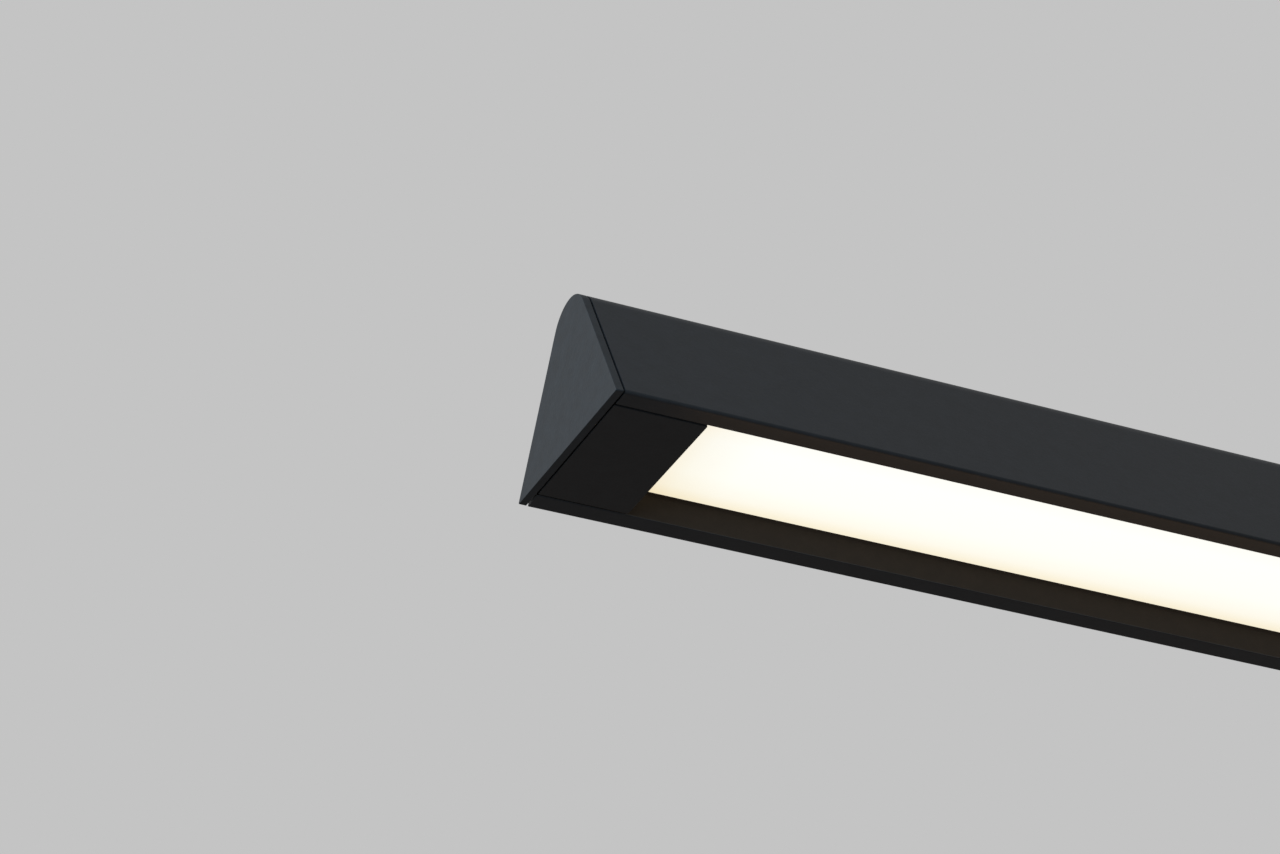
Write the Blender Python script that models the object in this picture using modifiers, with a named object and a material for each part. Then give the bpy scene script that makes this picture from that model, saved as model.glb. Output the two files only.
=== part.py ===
"""Linear LED vanity light bar with an equal-sided triangular section.

Metres, +Z up. The bar lies along X, the wall is the plane Y = 0 and the lamp stands off it towards -Y.
The origin is the middle of the wall plate's back.

Most pieces line up with the lit face, which looks down and forwards. They are placed in its own frame,
held by the empty lit_face: x along the bar, u across the lit face from its front corner to its wall
corner, and v inwards, square to it.
"""
import math

import bmesh
import bpy
from mathutils import Matrix, Vector

MM = 0.001

# Overall sizes
LENGTH = 600 * MM               # over both end plates
SIDE = 60 * MM                  # each side of the triangle, between sharp corners
TOP_RADIUS = 10 * MM            # the rounded corner at the top of the wall side
EDGE_RADIUS = 0.7 * MM          # the extrusion's front corner
ARRIS = 0.2 * MM                # its lower corner at the wall
PLATE_RADIUS = 0.3 * MM         # the same two corners of an end plate
WALL_GAP = 0.4 * MM             # between the extrusion's back and the wall
GAP = 0.3 * MM                  # between pieces that touch
FIT = 0.4 * MM                  # between pieces that slot together

# Housing extrusion
SKIN = 2 * MM                   # front and wall-side walls
LIP = 6.2 * MM                  # width of each lip beside the recess
LIP_RADIUS = 0.3 * MM
RIB_WIDTH = 2 * MM              # the rib that the diffuser and the covers snap over
RIB_THICKNESS = 1 * MM
BARB = 1 * MM                   # how far a snap barb reaches out over a rib
WEB_DEPTH = 19 * MM             # depth of the web that carries the lights and the driver
WEB = 1.8 * MM
FLANGE_REACH = SIDE - 2 * TOP_RADIUS    # up the wall side to the upper flange's edge

# Ends
END_PLATE = 2 * MM
SHADOW_GAP = 0.5 * MM           # between end plate and extrusion
BLOCK_LENGTH = 8 * MM
STUD_RADIUS = 1.5 * MM
STUD_LENGTH = 12 * MM
STUD_PLACES = ((SIDE / 2 - 7 * MM, 25 * MM), (SIDE / 2 + 0.5 * MM, 36.5 * MM))      # (u, v)
BLOCK_SCREW_U = SIDE / 2 + 1 * MM

# Recess covers
COVER_LENGTH = 23.7 * MM
COVER_THICKNESS = 1.5 * MM
COVER_FIT = 0.7 * MM            # between a cover and the lips
CLIP_THICKNESS = 0.5 * MM
CLIP_WIDTH = 8 * MM

# Light
RECESS = 7.3 * MM               # depth of the diffuser's outer face
DIFFUSER = 2 * MM
SNAP_LEG = 0.9 * MM             # thickness of the diffuser's two legs
SNAP_HEIGHT = 1.2 * MM          # of a barb, above the rib
TRAY = 0.8 * MM
TAPE = 0.5 * MM
TAPE_WIDTH = 14 * MM
BOARD = 1.6 * MM
BOARD_WIDTH = 16 * MM
BOARD_END = LENGTH / 2 - 38 * MM      # from the middle to a board's outer end
BOARD_SPLIT = 1.5 * MM          # from the middle to a board's inner end
LED_SIZE = 3 * MM
LED_HEIGHT = 0.7 * MM
LED_PITCH = 8 * MM
STOP_THICKNESS = 1.5 * MM
TRAY_SCREW_X = LENGTH / 4
TRAY_SCREW_OFFSET = 12.5 * MM   # from the middle of the lit face

# Driver, on the web in the left half
DRIVER_X0 = 65 * MM - LENGTH / 2
DRIVER_LENGTH = 200 * MM
DRIVER_WIDTH = 17 * MM
DRIVER_BASE = 7.5 * MM
DRIVER_LID = 2.7 * MM
CASE_WALL = 0.9 * MM
EAR_LENGTH = 8 * MM
EAR_WIDTH = 12 * MM
EAR_THICKNESS = 1.2 * MM
NOTCH_WIDTH = 6 * MM

# Mains side, on the web in the right half
TERMINAL_X0 = 50 * MM
TERMINAL_LENGTH = 14 * MM
TERMINAL_HEIGHT = 9 * MM
POLE_PITCH = 5 * MM
POLES = ("live", "neutral", "earth")
TERMINAL_EAR = 7 * MM
WELL_WIDTH = 3.4 * MM
WELL_LENGTH = 5 * MM
WELL_DEPTH = 3.5 * MM
BUTTON_TRAVEL = 1.2 * MM
BUTTON_PROUD = 1.6 * MM
ENTRY_RADIUS = 1.5 * MM
ENTRY_DEPTH = 6 * MM
ENTRY_HEIGHT = 3.5 * MM
CLAMP_X = 88 * MM
CLAMP_WIDTH = 8 * MM
CLAMP_BORE = 4.3 * MM
CLAMP_STRAP = 1 * MM
CLAMP_FOOT = 13 * MM            # from the middle to the end of a foot
EARTH_X = 20 * MM
TAG_RADIUS = 4 * MM
TAG_THICKNESS = 0.8 * MM
LEAD_RADIUS = 0.8 * MM
LED_LEAD_RADIUS = 0.6 * MM
LED_LEAD_X = 33 * MM - LENGTH / 2
LED_LEAD_HOLE = 2.4 * MM

# Wall side
PLATE = 1.5 * MM
PLATE_HALF_LENGTH = LENGTH / 2 - 12 * MM
HOOK_X = LENGTH / 2 - 48 * MM
HOOK_WIDTH = 24 * MM
HOOK_STEP = 1.6 * MM            # between the wall plate's front and the hook's back
HOOK_RISE = 5 * MM
SLOT_X = LENGTH / 2 - 29 * MM
SLOT_LENGTH = 9 * MM
SLOT_WIDTH = 4.5 * MM
BRACKET_X = LENGTH / 2 - 17 * MM
BRACKET_WIDTH = 10 * MM
BRACKET_REACH = SIDE / 2 + 0.5 * MM       # u at the free end of a bracket's leaf
BRACKET_RISE = 5 * MM           # top of a bracket's foot, above the origin
FIXING_U = SIDE / 2 + 6.5 * MM
CABLE_X = 112 * MM
GROMMET_BORE = 3.5 * MM
GROMMET_WALL = 1 * MM
GROMMET_FLANGE = 6.5 * MM
GROMMET_FLANGE_THICKNESS = 1.6 * MM

# Screws: head radius, head height, shank radius
M3 = (2.6 * MM, 1.8 * MM, 1.5 * MM)
M4 = (3.7 * MM, 2.4 * MM, 2 * MM)
CLEARANCE = 0.3 * MM            # radial, between a shank and its hole

# Worked out from the sizes above
SIXTY = math.radians(60)
SIN60 = math.sin(SIXTY)
COS60 = math.cos(SIXTY)
TAN60 = math.tan(SIXTY)
HALF = LENGTH / 2
BODY_HALF = HALF - END_PLATE - SHADOW_GAP
WEB_TOP = WEB_DEPTH + WEB
FLOOR = WEB_TOP + GAP           # underside of what stands on the web
CENTRE = SIDE / 2               # u in the middle of the lit face
RIB_V = RECESS + DIFFUSER + GAP
RIB_TOP = RIB_V + RIB_THICKNESS
CHAMBER_V = RIB_TOP + SNAP_HEIGHT + 2 * GAP     # the light chamber starts above the barbs
TRAY_V = WEB_DEPTH - GAP - TRAY
TAPE_V = TRAY_V - GAP - TAPE
BOARD_V = TAPE_V - GAP - BOARD
COVER_X = BODY_HALF - COVER_LENGTH
PLATE_LOW = WEB_TOP / SIN60 + PLATE / TAN60     # up the wall side, from its lower corner
PLATE_MID = (PLATE_LOW + FLANGE_REACH) / 2
PLATE_HALF = (FLANGE_REACH - PLATE_LOW) / 2 - FIT
FRONT_Y = -WALL_GAP - SIDE * SIN60
FRONT_Z = CENTRE - PLATE_MID
TERMINAL_WIDTH = len(POLES) * POLE_PITCH + 1.4 * MM
DRIVER_X1 = DRIVER_X0 + DRIVER_LENGTH
DRIVER_V = FLOOR + DRIVER_BASE


# Scene ------------------------------------------------------------------------------------------

def clear_scene():
    for item in list(bpy.data.objects):
        bpy.data.objects.remove(item, do_unlink=True)


def new_collection(name):
    group = bpy.data.collections.new(name)
    bpy.context.scene.collection.children.link(group)
    return group


clear_scene()
PARTS = new_collection("vanity_light_bar")
CUTTERS = new_collection("cutters")


def material(name, colour, roughness, metallic=0.0):
    finish = bpy.data.materials.new(name)
    finish.use_nodes = True
    shader = finish.node_tree.nodes["Principled BSDF"]
    shader.inputs["Base Color"].default_value = (*colour, 1.0)
    shader.inputs["Roughness"].default_value = roughness
    shader.inputs["Metallic"].default_value = metallic
    return finish


BLACK_COAT = material("black_powder_coat", (0.020, 0.021, 0.023), 0.55)
OPAL = material("opal_acrylic", (0.90, 0.87, 0.80), 0.35)
WHITE_TRAY = material("white_tray_coat", (0.85, 0.85, 0.84), 0.45)
BOARD_WHITE = material("white_solder_mask", (0.80, 0.82, 0.80), 0.40)
TAPE_GREY = material("thermal_tape", (0.55, 0.60, 0.66), 0.80)
BLACK_FOAM = material("black_foam", (0.015, 0.015, 0.015), 0.95)
CAST_ALUMINIUM = material("cast_aluminium", (0.62, 0.63, 0.65), 0.45, 1.0)
ZINC_STEEL = material("zinc_plated_steel", (0.66, 0.67, 0.68), 0.32, 1.0)
SPRING_STEEL = material("spring_steel", (0.50, 0.51, 0.53), 0.25, 1.0)
BRASS = material("brass", (0.72, 0.53, 0.22), 0.30, 1.0)
CASE_WHITE = material("white_polycarbonate", (0.78, 0.78, 0.76), 0.45)
BOARD_GREEN = material("green_solder_mask", (0.02, 0.16, 0.07), 0.40)
TRANSFORMER_YELLOW = material("yellow_winding_tape", (0.75, 0.58, 0.12), 0.50)
CAPACITOR_SLEEVE = material("capacitor_sleeve", (0.03, 0.04, 0.10), 0.35)
TERMINAL_GREY = material("grey_polyamide", (0.35, 0.36, 0.37), 0.50)
BUTTON_FINISH = {
    "live": material("brown_polyamide", (0.16, 0.07, 0.03), 0.45),
    "neutral": material("blue_polyamide", (0.03, 0.13, 0.45), 0.45),
    "earth": material("green_polyamide", (0.05, 0.35, 0.10), 0.45),
}
BROWN_PVC = material("brown_pvc", (0.14, 0.06, 0.03), 0.40)
BLUE_PVC = material("blue_pvc", (0.03, 0.15, 0.50), 0.40)
GREEN_PVC = material("green_pvc", (0.10, 0.40, 0.08), 0.40)
RED_PVC = material("red_pvc", (0.55, 0.03, 0.03), 0.40)
BLACK_PVC = material("black_pvc", (0.02, 0.02, 0.02), 0.40)
BLACK_RUBBER = material("black_rubber", (0.02, 0.02, 0.02), 0.75)

LIT_FACE = bpy.data.objects.new("lit_face", None)
LIT_FACE.location = (0.0, FRONT_Y, FRONT_Z)
LIT_FACE.rotation_euler = (-(math.pi / 2 - SIXTY), 0.0, 0.0)
PARTS.objects.link(LIT_FACE)

# Turns that put an outline drawn in local X and Y where it belongs
ACROSS = (math.pi / 2, 0.0, math.pi / 2)    # drawn across the bar, drawn out along X
UPRIGHT = (math.pi / 2, 0.0, 0.0)           # drawn facing the wall, drawn out along Y
FLAT = (0.0, 0.0, 0.0)                      # drawn on the lit face's plane, drawn out along v


# Helpers ----------------------------------------------------------------------------------------

def add(name, mesh, finish=None, parent=None, place=(0, 0, 0), turn=FLAT, group=None):
    item = bpy.data.objects.new(name, mesh)
    (group or PARTS).objects.link(item)
    item.parent = parent
    item.location = place
    item.rotation_euler = turn
    if finish:
        mesh.materials.append(finish)
    if group is CUTTERS:
        item.hide_render = True
        item.display_type = "WIRE"
    return item


def block(name, low, high, finish=None, parent=None, round_edges=0.0, group=None):
    """A box between two opposite corners."""
    low = Vector(low)
    high = Vector(high)
    shape = bmesh.new()
    bmesh.ops.create_cube(shape, size=1.0)
    bmesh.ops.scale(shape, vec=high - low, verts=shape.verts)
    mesh = bpy.data.meshes.new(name)
    shape.to_mesh(mesh)
    shape.free()
    item = add(name, mesh, finish, parent, (low + high) / 2, FLAT, group)
    if round_edges:
        bevel = item.modifiers.new("rounded_edges", "BEVEL")
        bevel.width = round_edges
        bevel.segments = 2
        bevel.limit_method = "ANGLE"
    return item


def rounded(corners, steps=5):
    """Corners (a, b) or (a, b, radius) as a closed outline, with an arc at each that has a radius."""
    points = []
    for index, corner in enumerate(corners):
        here = Vector(corner[:2])
        if len(corner) == 2:
            points.append(here)
            continue
        radius = corner[2]
        before = (Vector(corners[index - 1][:2]) - here).normalized()
        after = (Vector(corners[(index + 1) % len(corners)][:2]) - here).normalized()
        half_angle = before.angle(after) / 2
        centre = here + (before + after).normalized() * radius / math.sin(half_angle)
        start = here + before * radius / math.tan(half_angle) - centre
        sweep = math.copysign(math.pi - 2 * half_angle, -before.cross(after))
        for step in range(steps + 1):
            points.append(centre + Matrix.Rotation(sweep * step / steps, 2) @ start)
    return points


def arc(centre, radius, start, end, steps=8):
    """Points on an arc, with its angles in degrees."""
    angles = [math.radians(start + (end - start) * step / steps) for step in range(steps + 1)]
    return [(centre[0] + radius * math.cos(a), centre[1] + radius * math.sin(a)) for a in angles]


def drawn(name, outline, start, end, turn, finish=None, parent=None, group=None):
    """A closed outline, filled and drawn out from start to end along the direction its turn gives."""
    curve = bpy.data.curves.new(name, "CURVE")
    curve.dimensions = "2D"
    curve.fill_mode = "BOTH"
    curve.extrude = (end - start) / 2
    spline = curve.splines.new("POLY")
    spline.points.add(len(outline) - 1)
    for point, corner in zip(spline.points, outline):
        point.co = (corner[0], corner[1], 0.0, 1.0)
    spline.use_cyclic_u = True
    guide = bpy.data.objects.new(name, curve)
    PARTS.objects.link(guide)
    bpy.context.view_layer.update()
    evaluated = guide.evaluated_get(bpy.context.evaluated_depsgraph_get())
    mesh = bpy.data.meshes.new_from_object(evaluated)
    bpy.data.objects.remove(guide, do_unlink=True)
    bpy.data.curves.remove(curve)
    shape = bmesh.new()
    shape.from_mesh(mesh)
    bmesh.ops.remove_doubles(shape, verts=shape.verts, dist=0.001 * MM)
    shape.to_mesh(mesh)
    shape.free()
    middle = (start + end) / 2
    place = {ACROSS: (middle, 0, 0), UPRIGHT: (0, middle, 0), FLAT: (0, 0, middle)}[turn]
    return add(name, mesh, finish, parent, place, turn, group)


def turned(name, profile, place, turn, finish, parent=None, steps=16):
    """A profile of (radius, height) points, from top to bottom down its outer side, spun about Z."""
    mesh = bpy.data.meshes.new(name)
    points = [(radius, 0.0, height) for radius, height in profile]
    mesh.from_pydata(points, [(i, i + 1) for i in range(len(points) - 1)], [])
    item = add(name, mesh, finish, parent, place, turn)
    spin = item.modifiers.new("turned", "SCREW")
    spin.steps = steps
    spin.render_steps = steps
    spin.use_merge_vertices = True
    spin.merge_threshold = 0.00001
    spin.use_smooth_shade = True
    return item


def pins(name, places, radius, length, axis, parent, segments=20):
    """One cutter of equal round pins, each centred on a place and lying along an axis."""
    lay = {"X": Matrix.Rotation(math.pi / 2, 4, "Y"), "Y": Matrix.Rotation(math.pi / 2, 4, "X"),
           "Z": Matrix.Identity(4)}[axis]
    shape = bmesh.new()
    for place in places:
        bmesh.ops.create_cone(shape, cap_ends=True, segments=segments, radius1=radius, radius2=radius,
                              depth=length, matrix=Matrix.Translation(place) @ lay)
    mesh = bpy.data.meshes.new(name)
    shape.to_mesh(mesh)
    shape.free()
    return add(name, mesh, parent=parent, group=CUTTERS)


def combine(item, tool, operation="DIFFERENCE"):
    step = item.modifiers.new(tool.name, "BOOLEAN")
    step.operation = operation
    step.object = tool
    step.solver = "EXACT"
    return item


def screw(name, size, place, length, finish, head_up=True):
    """A pan-head screw square to the lit face; place is where the underside of its head lies."""
    head_radius, head_height, radius = size
    chamfer = 0.4 * MM
    socket = head_radius * 0.4
    profile = [
        (0.0, head_height * 0.45),
        (socket, head_height * 0.45),
        (socket, head_height),
        (head_radius - chamfer, head_height),
        (head_radius, head_height - chamfer),
        (head_radius, 0.0),
        (radius, 0.0),
        (radius, -length + chamfer),
        (radius - chamfer, -length),
        (0.0, -length),
    ]
    turn = FLAT if head_up else (math.pi, 0.0, 0.0)
    return turned(name, profile, place, turn, finish, LIT_FACE)


def nut(name, place, across_flats, height, bore, turn, finish):
    """A hexagon nut with its axis along local Z; place is its middle."""
    shape = bmesh.new()
    radius = across_flats / 2 / math.cos(math.radians(30))
    bmesh.ops.create_cone(shape, cap_ends=True, segments=6, radius1=radius, radius2=radius, depth=height)
    mesh = bpy.data.meshes.new(name)
    shape.to_mesh(mesh)
    shape.free()
    item = add(name, mesh, finish, LIT_FACE, place, turn)
    drill = pins(name + "_bore", [(0, 0, 0)], bore, 2 * height, "Z", LIT_FACE)
    drill.location = place
    drill.rotation_euler = turn
    return combine(item, drill)


def lead(name, route, radius, finish):
    """An insulated wire along a smooth curve through the points of its route, in the lit face's frame."""
    samples = 5
    ends = [2 * Vector(route[0]) - Vector(route[1]), 2 * Vector(route[-1]) - Vector(route[-2])]
    line = [ends[0], *(Vector(point) for point in route), ends[1]]
    path = []
    for a, b, c, d in zip(line, line[1:], line[2:], line[3:]):
        for step in range(samples):
            t = step / samples
            path.append(0.5 * (2 * b + (c - a) * t + (2 * a - 5 * b + 4 * c - d) * t ** 2
                               + (3 * b - a - 3 * c + d) * t ** 3))
    path.append(line[-2])
    curve = bpy.data.curves.new(name, "CURVE")
    curve.dimensions = "3D"
    curve.bevel_depth = radius
    curve.bevel_resolution = 2
    curve.use_fill_caps = True
    spline = curve.splines.new("POLY")
    spline.points.add(len(path) - 1)
    for point, place in zip(spline.points, path):
        point.co = (*place, 1.0)
    item = bpy.data.objects.new(name, curve)
    PARTS.objects.link(item)
    item.parent = LIT_FACE
    curve.materials.append(finish)
    return item


# The section ------------------------------------------------------------------------------------

def front(v, inset=0.0):
    """u on the front face at depth v, or on a line inside it by inset."""
    return v / TAN60 + inset / SIN60


def mirrored(points):
    """Points on the front half of the section, followed by their mirror images on the wall half."""
    images = [(SIDE - point[0], *point[1:]) for point in reversed(points)]
    return [*points, *images]


def apex(inset=0.0):
    return (CENTRE, (CENTRE - inset / SIN60) * TAN60)


def rib_tip():
    return front(RIB_V, SKIN) + RIB_WIDTH


def wall_side(reach, inset=0.0):
    """(u, v) on the wall side, reach up from its lower corner and inset into the bar."""
    return (SIDE - reach * COS60 - inset * SIN60, reach * SIN60 - inset * COS60)


def lit_at_y(y, v):
    """(y, z) of the point at depth v behind the lit face that lies at y."""
    u = (y - FRONT_Y - v * COS60) / SIN60
    return (y, FRONT_Z - u * COS60 + v * SIN60)


def lit_point(u, v):
    """(y, z) of a point given in the lit face's frame."""
    return (FRONT_Y + u * SIN60 + v * COS60, FRONT_Z - u * COS60 + v * SIN60)


def mirrored_ends():
    return (("left", -1), ("right", 1))


def span(side, inner, outer):
    """Low and high x of a stretch from inner to outer, counted from the middle towards one end."""
    return sorted((side * inner, side * outer))


# Housing ----------------------------------------------------------------------------------------

def housing():
    lip_depth = (LIP - front(0.0, SKIN)) * TAN60
    inside = mirrored([
        (LIP, 0.0, LIP_RADIUS),
        (LIP, lip_depth),
        (front(RIB_V, SKIN), RIB_V),
        (rib_tip(), RIB_V),
        (rib_tip(), RIB_TOP),
        (front(RIB_TOP, SKIN), RIB_TOP),
        (front(WEB_DEPTH, SKIN), WEB_DEPTH),
    ])
    corners = [
        (0.0, 0.0, EDGE_RADIUS),
        *inside,
        (SIDE, 0.0, ARRIS),
        (SIDE - front(WEB_TOP), WEB_TOP),
        (front(WEB_TOP, SKIN), WEB_TOP),
        (*apex(SKIN), TOP_RADIUS - SKIN),
        wall_side(FLANGE_REACH, SKIN),
        wall_side(FLANGE_REACH),
        (*apex(), TOP_RADIUS),
    ]
    body = drawn("housing_extrusion", rounded(corners, 8), -BODY_HALF, BODY_HALF, ACROSS,
                 BLACK_COAT, LIT_FACE)
    web_middle = WEB_DEPTH + WEB / 2
    m3_holes = [
        (DRIVER_X0 - EAR_LENGTH / 2, CENTRE, web_middle),
        (DRIVER_X1 + EAR_LENGTH / 2, CENTRE, web_middle),
        (TERMINAL_X0 + TERMINAL_LENGTH + TERMINAL_EAR / 2, CENTRE, web_middle),
        (CLAMP_X, CENTRE - clamp_screw_offset(), web_middle),
        (CLAMP_X, CENTRE + clamp_screw_offset(), web_middle),
    ]
    m4_holes = [(EARTH_X, CENTRE, web_middle)]
    for _, side in mirrored_ends():
        m3_holes.append((side * block_screw_x(), BLOCK_SCREW_U, web_middle))
        m3_holes.append((side * TRAY_SCREW_X, CENTRE - TRAY_SCREW_OFFSET, web_middle))
        m4_holes.append((side * BRACKET_X, FIXING_U, web_middle))
    depth = 2 * WEB
    combine(body, pins("web_m3_holes", m3_holes, M3[2] + CLEARANCE, depth, "Z", LIT_FACE))
    combine(body, pins("web_m4_holes", m4_holes, M4[2] + CLEARANCE, depth, "Z", LIT_FACE))
    passage = [(LED_LEAD_X, CENTRE, web_middle)]
    combine(body, pins("web_lead_hole", passage, LED_LEAD_HOLE, depth, "Z", LIT_FACE))


# Ends -------------------------------------------------------------------------------------------

def block_screw_x():
    return HALF - END_PLATE - GAP - BLOCK_LENGTH / 2


def end_assembly(label, side):
    plate_inner = HALF - END_PLATE
    outline = rounded([(0.0, 0.0, PLATE_RADIUS), (SIDE, 0.0, PLATE_RADIUS), (*apex(), TOP_RADIUS)], 8)
    plate = drawn("end_plate_" + label, outline, *span(side, plate_inner, HALF), ACROSS,
                  BLACK_COAT, LIT_FACE)
    root = 0.5 * MM
    stud_middle = plate_inner + root - (STUD_LENGTH + root) / 2
    places = [(side * stud_middle, u, v) for u, v in STUD_PLACES]
    studs = pins("studs_" + label, places, STUD_RADIUS, STUD_LENGTH + root, "X", LIT_FACE, 16)
    combine(plate, studs, "UNION")

    outer = plate_inner - GAP
    inner = outer - BLOCK_LENGTH
    inset = SKIN + GAP
    corners = [(front(FLOOR, inset), FLOOR), (SIDE - front(FLOOR, inset), FLOOR),
               (*apex(inset), TOP_RADIUS - inset)]
    body = drawn("end_block_" + label, rounded(corners, 8), *span(side, inner, outer), ACROSS,
                 CAST_ALUMINIUM, LIT_FACE)
    middle = side * (inner + outer) / 2
    stud_holes = pins("stud_holes_" + label, [(middle, u, v) for u, v in STUD_PLACES],
                      STUD_RADIUS + CLEARANCE, 2 * BLOCK_LENGTH, "X", LIT_FACE)
    combine(body, stud_holes)
    screw_reach = 7 * MM
    screw_hole = pins("block_screw_hole_" + label, [(side * block_screw_x(), BLOCK_SCREW_U, FLOOR)],
                      M3[2] + CLEARANCE, 2 * (screw_reach + CLEARANCE), "Z", LIT_FACE)
    combine(body, screw_hole)
    length = screw_reach + FLOOR - (WEB_DEPTH - GAP)
    screw("end_block_screw_" + label, M3, (side * block_screw_x(), BLOCK_SCREW_U, WEB_DEPTH - GAP),
          length, ZINC_STEEL, head_up=False)

    nut_height = 2.4 * MM
    nut_x = side * (inner - GAP - nut_height / 2)
    for place_name, (u, v) in zip(("lower", "upper"), STUD_PLACES):
        nut("end_nut_" + label + "_" + place_name, (nut_x, u, v), 5.5 * MM, nut_height,
            STUD_RADIUS + CLEARANCE, (0.0, math.pi / 2, 0.0), ZINC_STEEL)


def cover_assembly(label, side):
    low_x, high_x = span(side, COVER_X, BODY_HALF)
    edge = LIP + COVER_FIT
    block("cover_plate_" + label, (low_x, edge, 0.0), (high_x, SIDE - edge, COVER_THICKNESS),
          BLACK_COAT, LIT_FACE, round_edges=0.2 * MM)

    seat = COVER_THICKNESS + GAP
    hook = RIB_TOP + GAP
    arm = rib_tip() + GAP
    inner = arm + CLIP_THICKNESS
    near = [
        (arm, seat),
        (arm, hook),
        (arm - BARB, hook),
        (arm + CLIP_THICKNESS / 2, hook + SNAP_HEIGHT),
        (inner + CLIP_THICKNESS / 2, hook + SNAP_HEIGHT),
        (inner, hook),
        (inner, seat + CLIP_THICKNESS),
    ]
    far = [(SIDE - u, v) for u, v in reversed(near)]
    middle = (COVER_X + BODY_HALF) / 2
    drawn("cover_clip_" + label, near + far, *span(side, middle - CLIP_WIDTH / 2, middle + CLIP_WIDTH / 2),
          ACROSS, SPRING_STEEL, LIT_FACE)


# Light ------------------------------------------------------------------------------------------

def diffuser():
    inset = SKIN + FIT
    back = RECESS + DIFFUSER
    leg = rib_tip() + GAP
    hook = RIB_TOP + GAP
    outline = mirrored([
        (front(RECESS, inset), RECESS),
        (front(back, inset), back),
        (leg, back),
        (leg, hook),
        (leg - BARB, hook),
        (leg + SNAP_LEG / 3, hook + SNAP_HEIGHT),
        (leg + SNAP_LEG, hook + SNAP_HEIGHT),
        (leg + SNAP_LEG, back),
    ])
    drawn("diffuser", outline, -COVER_X, COVER_X, ACROSS, OPAL, LIT_FACE)


def led_tray():
    high = TRAY_V + TRAY
    inset = SKIN + FIT
    inner = inset + TRAY
    outline = mirrored([(front(high, inset), high), (front(CHAMBER_V, inset), CHAMBER_V),
                        (front(CHAMBER_V, inner), CHAMBER_V), (front(TRAY_V, inner), TRAY_V)])
    end = COVER_X - STOP_THICKNESS - 2 * GAP
    tray = drawn("led_tray", outline, -end, end, ACROSS, WHITE_TRAY, LIT_FACE)
    holes = [(side * TRAY_SCREW_X, CENTRE - TRAY_SCREW_OFFSET, TRAY_V) for _, side in mirrored_ends()]
    combine(tray, pins("tray_screw_holes", holes, M3[2] + CLEARANCE, 4 * TRAY, "Z", LIT_FACE))
    passage = [(LED_LEAD_X, CENTRE, TRAY_V)]
    combine(tray, pins("tray_lead_hole", passage, LED_LEAD_HOLE, 4 * TRAY, "Z", LIT_FACE))


def led_board(label, side):
    low_x, high_x = span(side, BOARD_SPLIT, BOARD_END)
    half_width = BOARD_WIDTH / 2
    board = block("led_board_" + label, (low_x, CENTRE - half_width, BOARD_V),
                  (high_x, CENTRE + half_width, BOARD_V + BOARD), BOARD_WHITE, LIT_FACE)
    count = int((BOARD_END - BOARD_SPLIT - LED_PITCH) // LED_PITCH)
    first = (BOARD_SPLIT + BOARD_END) / 2 - (count - 1) * LED_PITCH / 2
    overlap = 0.2 * MM
    shape = bmesh.new()
    for index in range(count):
        middle = Vector((side * (first + index * LED_PITCH), CENTRE, BOARD_V - (LED_HEIGHT - overlap) / 2))
        size = Vector((LED_SIZE, LED_SIZE, LED_HEIGHT + overlap))
        made = bmesh.ops.create_cube(shape, size=1.0)["verts"]
        bmesh.ops.scale(shape, vec=size, verts=made)
        bmesh.ops.translate(shape, vec=middle, verts=made)
    mesh = bpy.data.meshes.new("leds_" + label)
    shape.to_mesh(mesh)
    shape.free()
    combine(board, add("leds_" + label, mesh, parent=LIT_FACE, group=CUTTERS), "UNION")

    half_tape = TAPE_WIDTH / 2
    block("thermal_tape_" + label, (low_x, CENTRE - half_tape, TAPE_V),
          (high_x, CENTRE + half_tape, TAPE_V + TAPE), TAPE_GREY, LIT_FACE)


def light_stop(label, side):
    high = WEB_DEPTH - FIT
    inset = SKIN + FIT
    outline = mirrored([(front(high, inset), high), (front(CHAMBER_V, inset), CHAMBER_V)])
    drawn("light_stop_" + label, outline, *span(side, COVER_X - STOP_THICKNESS, COVER_X), ACROSS,
          BLACK_FOAM, LIT_FACE)


def tray_screw(label, side):
    place = (side * TRAY_SCREW_X, CENTRE - TRAY_SCREW_OFFSET, TRAY_V - GAP)
    screw("tray_screw_" + label, M3, place, WEB_TOP - TRAY_V + 2 * GAP, ZINC_STEEL, head_up=False)


# Driver -----------------------------------------------------------------------------------------

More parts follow.
